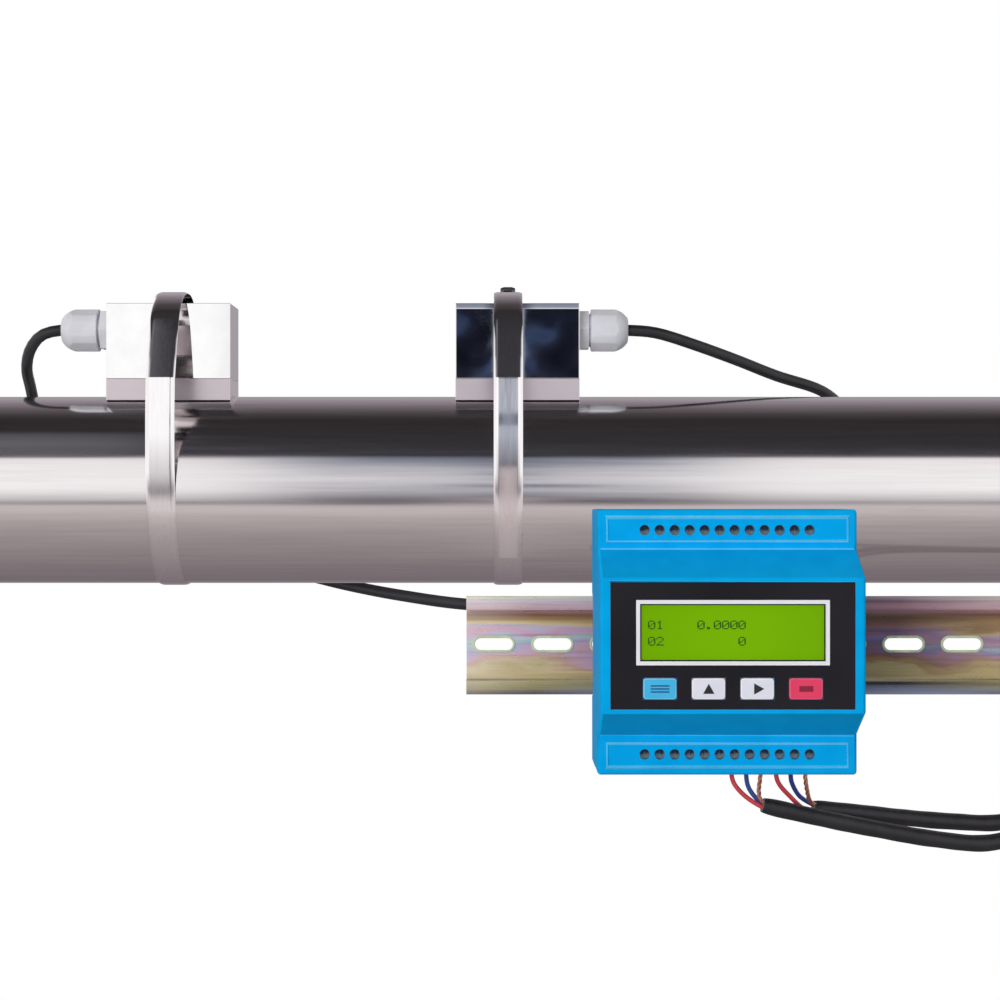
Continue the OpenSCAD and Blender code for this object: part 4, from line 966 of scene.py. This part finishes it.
def roll_depth(from_edge):
    """How far the band is pressed in at a distance from its edge, in millimetres."""
    for (a, deep), (b, shallow) in zip(edge_roll, edge_roll[1:]):
        if from_edge <= b:
            return deep + (shallow - deep) * (from_edge - a) / (b - a)
    return 0


def rolled_band(node):
    """The strap with its outer long edges rolled back."""
    bm = copy_of(node)
    low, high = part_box(node)
    for from_edge, _ in edge_roll[1:]:
        for x in (low.x + from_edge * mm, high.x - from_edge * mm):
            cut(bm, (1, 0, 0), x)
    centre = (low + high) / 2
    centre.y = 0
    moves = []
    for vert in bm.verts:
        flat = sum((f.normal for f in vert.link_faces if abs(f.normal.x) < 0.5), Vector())
        if flat.length and flat.dot(vert.co - centre) > 0:
            from_edge = max(min(vert.co.x - low.x, high.x - vert.co.x) / mm, 0)
            moves.append((vert, flat.normalized() * roll_depth(from_edge) * mm))
    for vert, move in moves:
        vert.co -= move
    return bm


for side in ("left", "right"):
    band = piece(f"{side}_band", rolled_band(f"{side}_strap"), band_steel, f"{side}_strap")
    rounded(f"{side}_band_buckle", f"{side}_buckle", band_steel, 0.2 * mm)
    # The worm screws take the dark steel of painted shade.
    rounded(f"{side}_band_screw", f"{side}_worm_screw", painted_shade_screw, 0.15 * mm, 1)
print("straps dressed, faces in one:", len(band.data.polygons))

# %% [markdown]
# The rail is rolled from 1 mm sheet, so its folds are rounded. The punch left a low burr
# round each slot, and its pale yellow-green is a painted highlight, the light that the
# slot's inner wall catches. The burr is a ring: each corner of a slot's edge gives one
# point inside the slot and one on the web.

# %% Rail
rail_bm = copy_of("din_rail")
slot_middle, slot_half = (rail_low.z + rail_high.z) / 2, 3.4 * mm
burr_in, burr_out, burr_proud = 0.45 * mm, 0.45 * mm, 0.1 * mm
fold_radius, touching = 0.15 * mm, 0.01 * mm
at_slots = {v for v in rail_bm.verts if abs(v.co.z - slot_middle) < slot_half
            and rail_low.x + mm < v.co.x < rail_high.x - mm}
web_front = min(v.co.y for v in at_slots)


def slot_burrs(bm):
    """A ring round each slot of the web, made in the same order on every run."""
    burr, ends_of = bmesh.new(), {}
    rim = [e for e in bm.edges if len(e.link_faces) == 2
           and e.calc_face_angle() > math.radians(40)
           and all(abs(v.co.y - web_front) < touching and v in at_slots for v in e.verts)]
    for corner in dict.fromkeys(v for edge in rim for v in edge.verts):
        hollow = sum((f.normal for f in corner.link_faces if abs(f.normal.y) < 0.5), Vector())
        hollow.normalize()
        face = Vector((corner.co.x, web_front - burr_proud, corner.co.z))
        ends_of[corner] = [burr.verts.new(face + hollow * burr_in),
                           burr.verts.new(face - hollow * burr_out)]
    for edge in rim:
        (a, b), (c, d) = (ends_of[v] for v in edge.verts)
        burr.faces.new((a, b, d, c))
    bmesh.ops.recalc_face_normals(burr, faces=burr.faces)
    return burr


burrs = slot_burrs(rail_bm)
print("burr faces:", len(burrs.faces))
round_edges(rail_bm, fold_radius, 2, 50, lambda edge: edge.calc_length() > 100 * mm)
rail = piece("slotted_rail", rail_bm, rainbow, "din_rail")
burr_ring = piece("slot_burrs", burrs, punched, "din_rail")
burr_depth = burr_ring.modifiers.new("depth of the burr", "SOLIDIFY")
burr_depth.thickness = 2 * burr_proud
burr_depth.offset = 0
print("rail faces:", len(rail.data.polygons))

# %% [markdown]
# The case is moulded in two halves. The mould's edges are polished to a small radius.
# The small radii round the front and the holes, and the ribs on the tiers, are a paler
# blue, a painted highlight that draws the pale lines round every step and hole.

# %% Case
corner_radius, step_radius, line_radius = 1.2 * mm, 0.7 * mm, 0.3 * mm
tier_face, rib_proud = -80 * mm, 0.35 * mm


def edge_at(edge, axis, *places):
    """Whether both ends of an edge lie on one of the planes across an axis."""
    return any(all(abs(v.co[axis] - place) < touching for v in edge.verts)
               for place in places)


def rounded_half(node, split_face):
    """A case half with its outer corners well rounded, but not along the split."""
    bm = copy_of(node)
    low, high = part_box(node)
    wide = high.x - low.x

    def outer(edge):
        on_side = edge_at(edge, 0, low.x, high.x)
        on_end = edge_at(edge, 2, low.z, high.z) and edge.calc_length() > wide / 2
        return (on_side or on_end) and not edge_at(edge, 1, split_face)

    return round_edges(bm, corner_radius, 4, 40, outer)


cover_low, cover_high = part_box("front_cover")
cover = rounded_half("front_cover", cover_high.y)
round_edges(cover, step_radius, 3, 40, lambda edge: edge.calc_length() > 80 * mm
            and edge_at(edge, 1, cover_low.y, tier_face))
# The small radii round the front and round the holes take the paler blue, a painted highlight.
round_edges(cover, line_radius, 2, 40, lambda edge: edge_at(edge, 1, cover_low.y), finish=1)
round_edges(cover, line_radius, 2, 40, lambda edge: edge.calc_length() < 2 * mm
            and edge_at(edge, 1, tier_face), finish=1)
# The ribs on the tiers are painted paler too, a painted highlight.
for face in cover.faces:
    if tier_face - rib_proud - touching < face.calc_center_median().y < tier_face - touching:
        face.material_index = 1
print("pale faces:", sum(face.material_index for face in cover.faces))
piece("case_front", cover, case_blue, "front_cover", painted_edge_highlight=painted_case_edge)
piece("case_back", rounded_half("rear_base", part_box("rear_base")[0].y), case_blue,
      "rear_base")
rounded("front_film", "front_overlay", film_black, 0.08 * mm, 1)
rounded("display_border", "display_frame", print_white, 0.06 * mm, 1)
rounded("display_face", "display_glass", lit_green, 0.2 * mm)
print("case dressed")

# %% [markdown]
# A key cap has round corners and a paler rim, a painted highlight on its round front
# edge. Its corners are rounded first, and its front edge after them. The sign on it is a
# thin layer of ink: a triangle, three bars or a square. Each one is a flat circle with few
# sides, stretched to size and given a thickness, and it moves with its key.

# %% Key caps
key_finishes = {"menu_key": (key_blue, painted_blue_rim), "up_key": (key_white, painted_white_rim),
                "right_key": (key_white, painted_white_rim), "enter_key": (key_red, painted_red_rim)}
cap_corner, cap_rim, ink = 1 * mm, 0.35 * mm, 0.05 * mm


def key_cap(node):
    """A key's copy with round corners and, last, a round front edge."""
    bm = copy_of(node)
    round_edges(bm, cap_corner, 4, 40, lambda edge: 0.9 * edge.calc_length()
                < abs((edge.verts[0].co - edge.verts[1].co).y))
    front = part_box(node)[0].y
    # The front edge takes the rim finish, a paler colour that is a painted highlight.
    return round_edges(bm, cap_rim, 3, 40, lambda edge: all(
        v.co.y < front + touching for v in edge.verts), finish=1)


def key_sign(name, node, shapes, finish):
    """Ink shapes on a key front: sides, turn, width, height and rise of each, in mm."""
    low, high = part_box(node)
    centre, bm = (low + high) / 2, bmesh.new()
    for sides, turn, width, height, rise in shapes:
        place = (Matrix.Translation((centre.x, low.y + ink, centre.z + rise * mm))
                 @ Matrix.Diagonal((width * mm, 1, height * mm, 1))
                 @ Matrix.Rotation(math.radians(90), 4, "X")
                 @ Matrix.Rotation(math.radians(turn), 4, "Z"))
        made = bmesh.ops.create_circle(bm, cap_ends=True, segments=sides, radius=0.5,
                                       matrix=place)
        flat = list({face for vert in made["verts"] for face in vert.link_faces})
        raised = bmesh.ops.extrude_face_region(bm, geom=flat)["geom"]
        bmesh.ops.translate(bm, vec=(0, -2 * ink, 0),
                            verts=[v for v in raised if isinstance(v, bmesh.types.BMVert)])
    bmesh.ops.recalc_face_normals(bm, faces=bm.faces)
    return piece(name, bm, finish, node)


for node, (finish, rim) in key_finishes.items():
    piece(f"{node}_cap", key_cap(node), finish, node, painted_edge_highlight=rim)
bar = math.sqrt(2)
signs = [key_sign("menu_key_sign", "menu_key",
                  [(4, 45, 6.2 * bar, 0.5 * bar, rise) for rise in (-1, 0, 1)], print_blue),
         key_sign("up_key_sign", "up_key", [(3, 0, 4.3, 4.5, -0.5)], print_black),
         key_sign("right_key_sign", "right_key", [(3, -90, 4.5, 4.3, 0)], print_black),
         key_sign("enter_key_sign", "enter_key", [(4, 45, 4.6 * bar, 1.9 * bar, 0)],
                  print_red)]
print("keys dressed:", len(key_finishes), "signs:", len(signs))

# %% [markdown]
# The display shows plain numbers, built from dots as on a real character display: five
# columns and seven rows to a character. The dots are thin tiles that stand just proud
# of the glass. Each digit is drawn here row by row.

# %% Display digits
dot_rows = {"0": ".###. #...# #..## #.#.# ##..# #...# .###.",
            "1": "..#.. .##.. ..#.. ..#.. ..#.. ..#.. .###.",
            "2": ".###. #...# ....# ...#. ..#.. .#... #####",
            ".": "..... ..... ..... ..... ..... .##.. .##.."}
dot_wide, dot_tall, dot_gap = 0.5 * mm, 0.42 * mm, 0.02 * mm
text_left, character_pitch, tile = 2.9 * mm, 2.72 * mm, 0.02 * mm
text_rows = [(7.0 * mm, "01    0.0000"), (12.4 * mm, "02         0")]
dots = bmesh.new()
for from_top, characters in text_rows:
    for place, character in enumerate(characters):
        for row, cells in enumerate(dot_rows.get(character, "").split()):
            for column, cell in enumerate(cells):
                if cell == "#":
                    spot = (glow_low.x + text_left + place * character_pitch
                            + column * dot_wide, glow_low.y,
                            glow_high.z - from_top + (3 - row) * dot_tall)
                    bmesh.ops.create_cube(dots, size=1, matrix=Matrix.Translation(spot)
                                          @ Matrix.Diagonal((dot_wide - dot_gap, 2 * tile,
                                                             dot_tall - dot_gap, 1)))
print("display dots:", len(dots.faces) // 6)
piece("display_digits", dots, digit_green, "display_glass")

# %% [markdown]
# The latch spring is a round wire wound into a helix: one disc is spun round the axis
# and lifted a little at each step. Its foot stands on a fixed peg. When the latch is
# pulled down, the spring's top comes down with it, so the whole spring is squashed
# towards its foot.

# %% Latch spring
spring_low, spring_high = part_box("latch_spring")
spring_wire, spring_turns, turn_steps = 0.5 * mm, 9, 20
spring_long = spring_high.z - spring_low.z
foot = (spring_low + spring_high) / 2
foot.z = spring_low.z
coil_bm = bmesh.new()
bmesh.ops.create_circle(coil_bm, cap_ends=True, segments=8, radius=spring_wire / 2,
                        matrix=Matrix.Translation((spring_high.x - spring_wire / 2, foot.y,
                                                   foot.z + spring_wire / 2))
                        @ Matrix.Rotation(math.radians(90), 4, "X"))
bmesh.ops.spin(coil_bm, geom=all_of(coil_bm), cent=foot, axis=(0, 0, 1),
               angle=math.tau * spring_turns, steps=spring_turns * turn_steps,
               use_merge=False,
               dvec=(0, 0, (spring_long - spring_wire) / (spring_turns * turn_steps)))
bmesh.ops.recalc_face_normals(coil_bm, faces=coil_bm.faces)
print("open edges of the spring:", sum(edge.is_boundary for edge in coil_bm.edges))
latch_coil = piece("latch_coil_spring", coil_bm, plated_steel, "latch_spring", sharp=60)
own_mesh(latch_coil)
print("spring length in mm:", round(spring_long / mm, 2))

# %% [markdown]
# The parts inside keep the frame's shapes, since nobody sees them until the case is
# opened. They still get their real finishes, and the terminal screws' finish also holds
# painted shade from their holes.

# %% Inner parts
inner = {seal_black: ["left_gland_seal", "right_gland_seal"],
         amber: ["left_wedge", "right_wedge"],
         disc_ceramic: ["left_piezo", "right_piezo"],
         lead_red: ["left_piezo_leads", "right_piezo_leads"],
         plated_steel: ["display_holder", "display_screws"],
         sunk_screws("top_terminal_screws"): ["top_terminal_screws"],
         sunk_screws("bottom_terminal_screws"): ["bottom_terminal_screws"],
         light_guide: ["backlight"],
         part_black: ["key_switches", "board_header", "processor", "capacitors",
                      "rail_latch"],
         board_green: ["display_board", "main_board"],
         relay_blue: ["relay"],
         terminal_green: ["top_terminals", "bottom_terminals"],
         nylon: ["coil_ties"]}
for finish, nodes in inner.items():
    for node in nodes:
        data = frame["nodes"][node].data
        data.materials.clear()
        data.materials.append(finish)
print("inner parts:", sum(len(nodes) for nodes in inner.values()))

# %% [markdown]
# The pipe and the transducers are mirrors, and the room that they show is already laid
# out in the world's bands. Parts below the pipe would come in twice, so mirrors skip
# them.

# %% Parts that the mirrors skip
skipped = ["case_front", "case_back", "front_film", "display_border", "display_face",
           "slotted_rail", "slot_burrs", "latch_coil_spring",
           *(f"{node}_cap" for node in key_finishes)]
skipped = [bpy.data.objects[name] for name in skipped] + [*sleeves.values()]
skipped += [wire for wires in ends.values() for wire in wires]
for made in skipped:
    made.visible_glossy = False
in_case = [node for nodes in inner.values() for node in nodes
           if not node.startswith(("left_", "right_"))]
for node in in_case:
    frame["nodes"][node].visible_glossy = False
print("mirrors skip", len(skipped), "pieces and", len(in_case), "parts in the case")
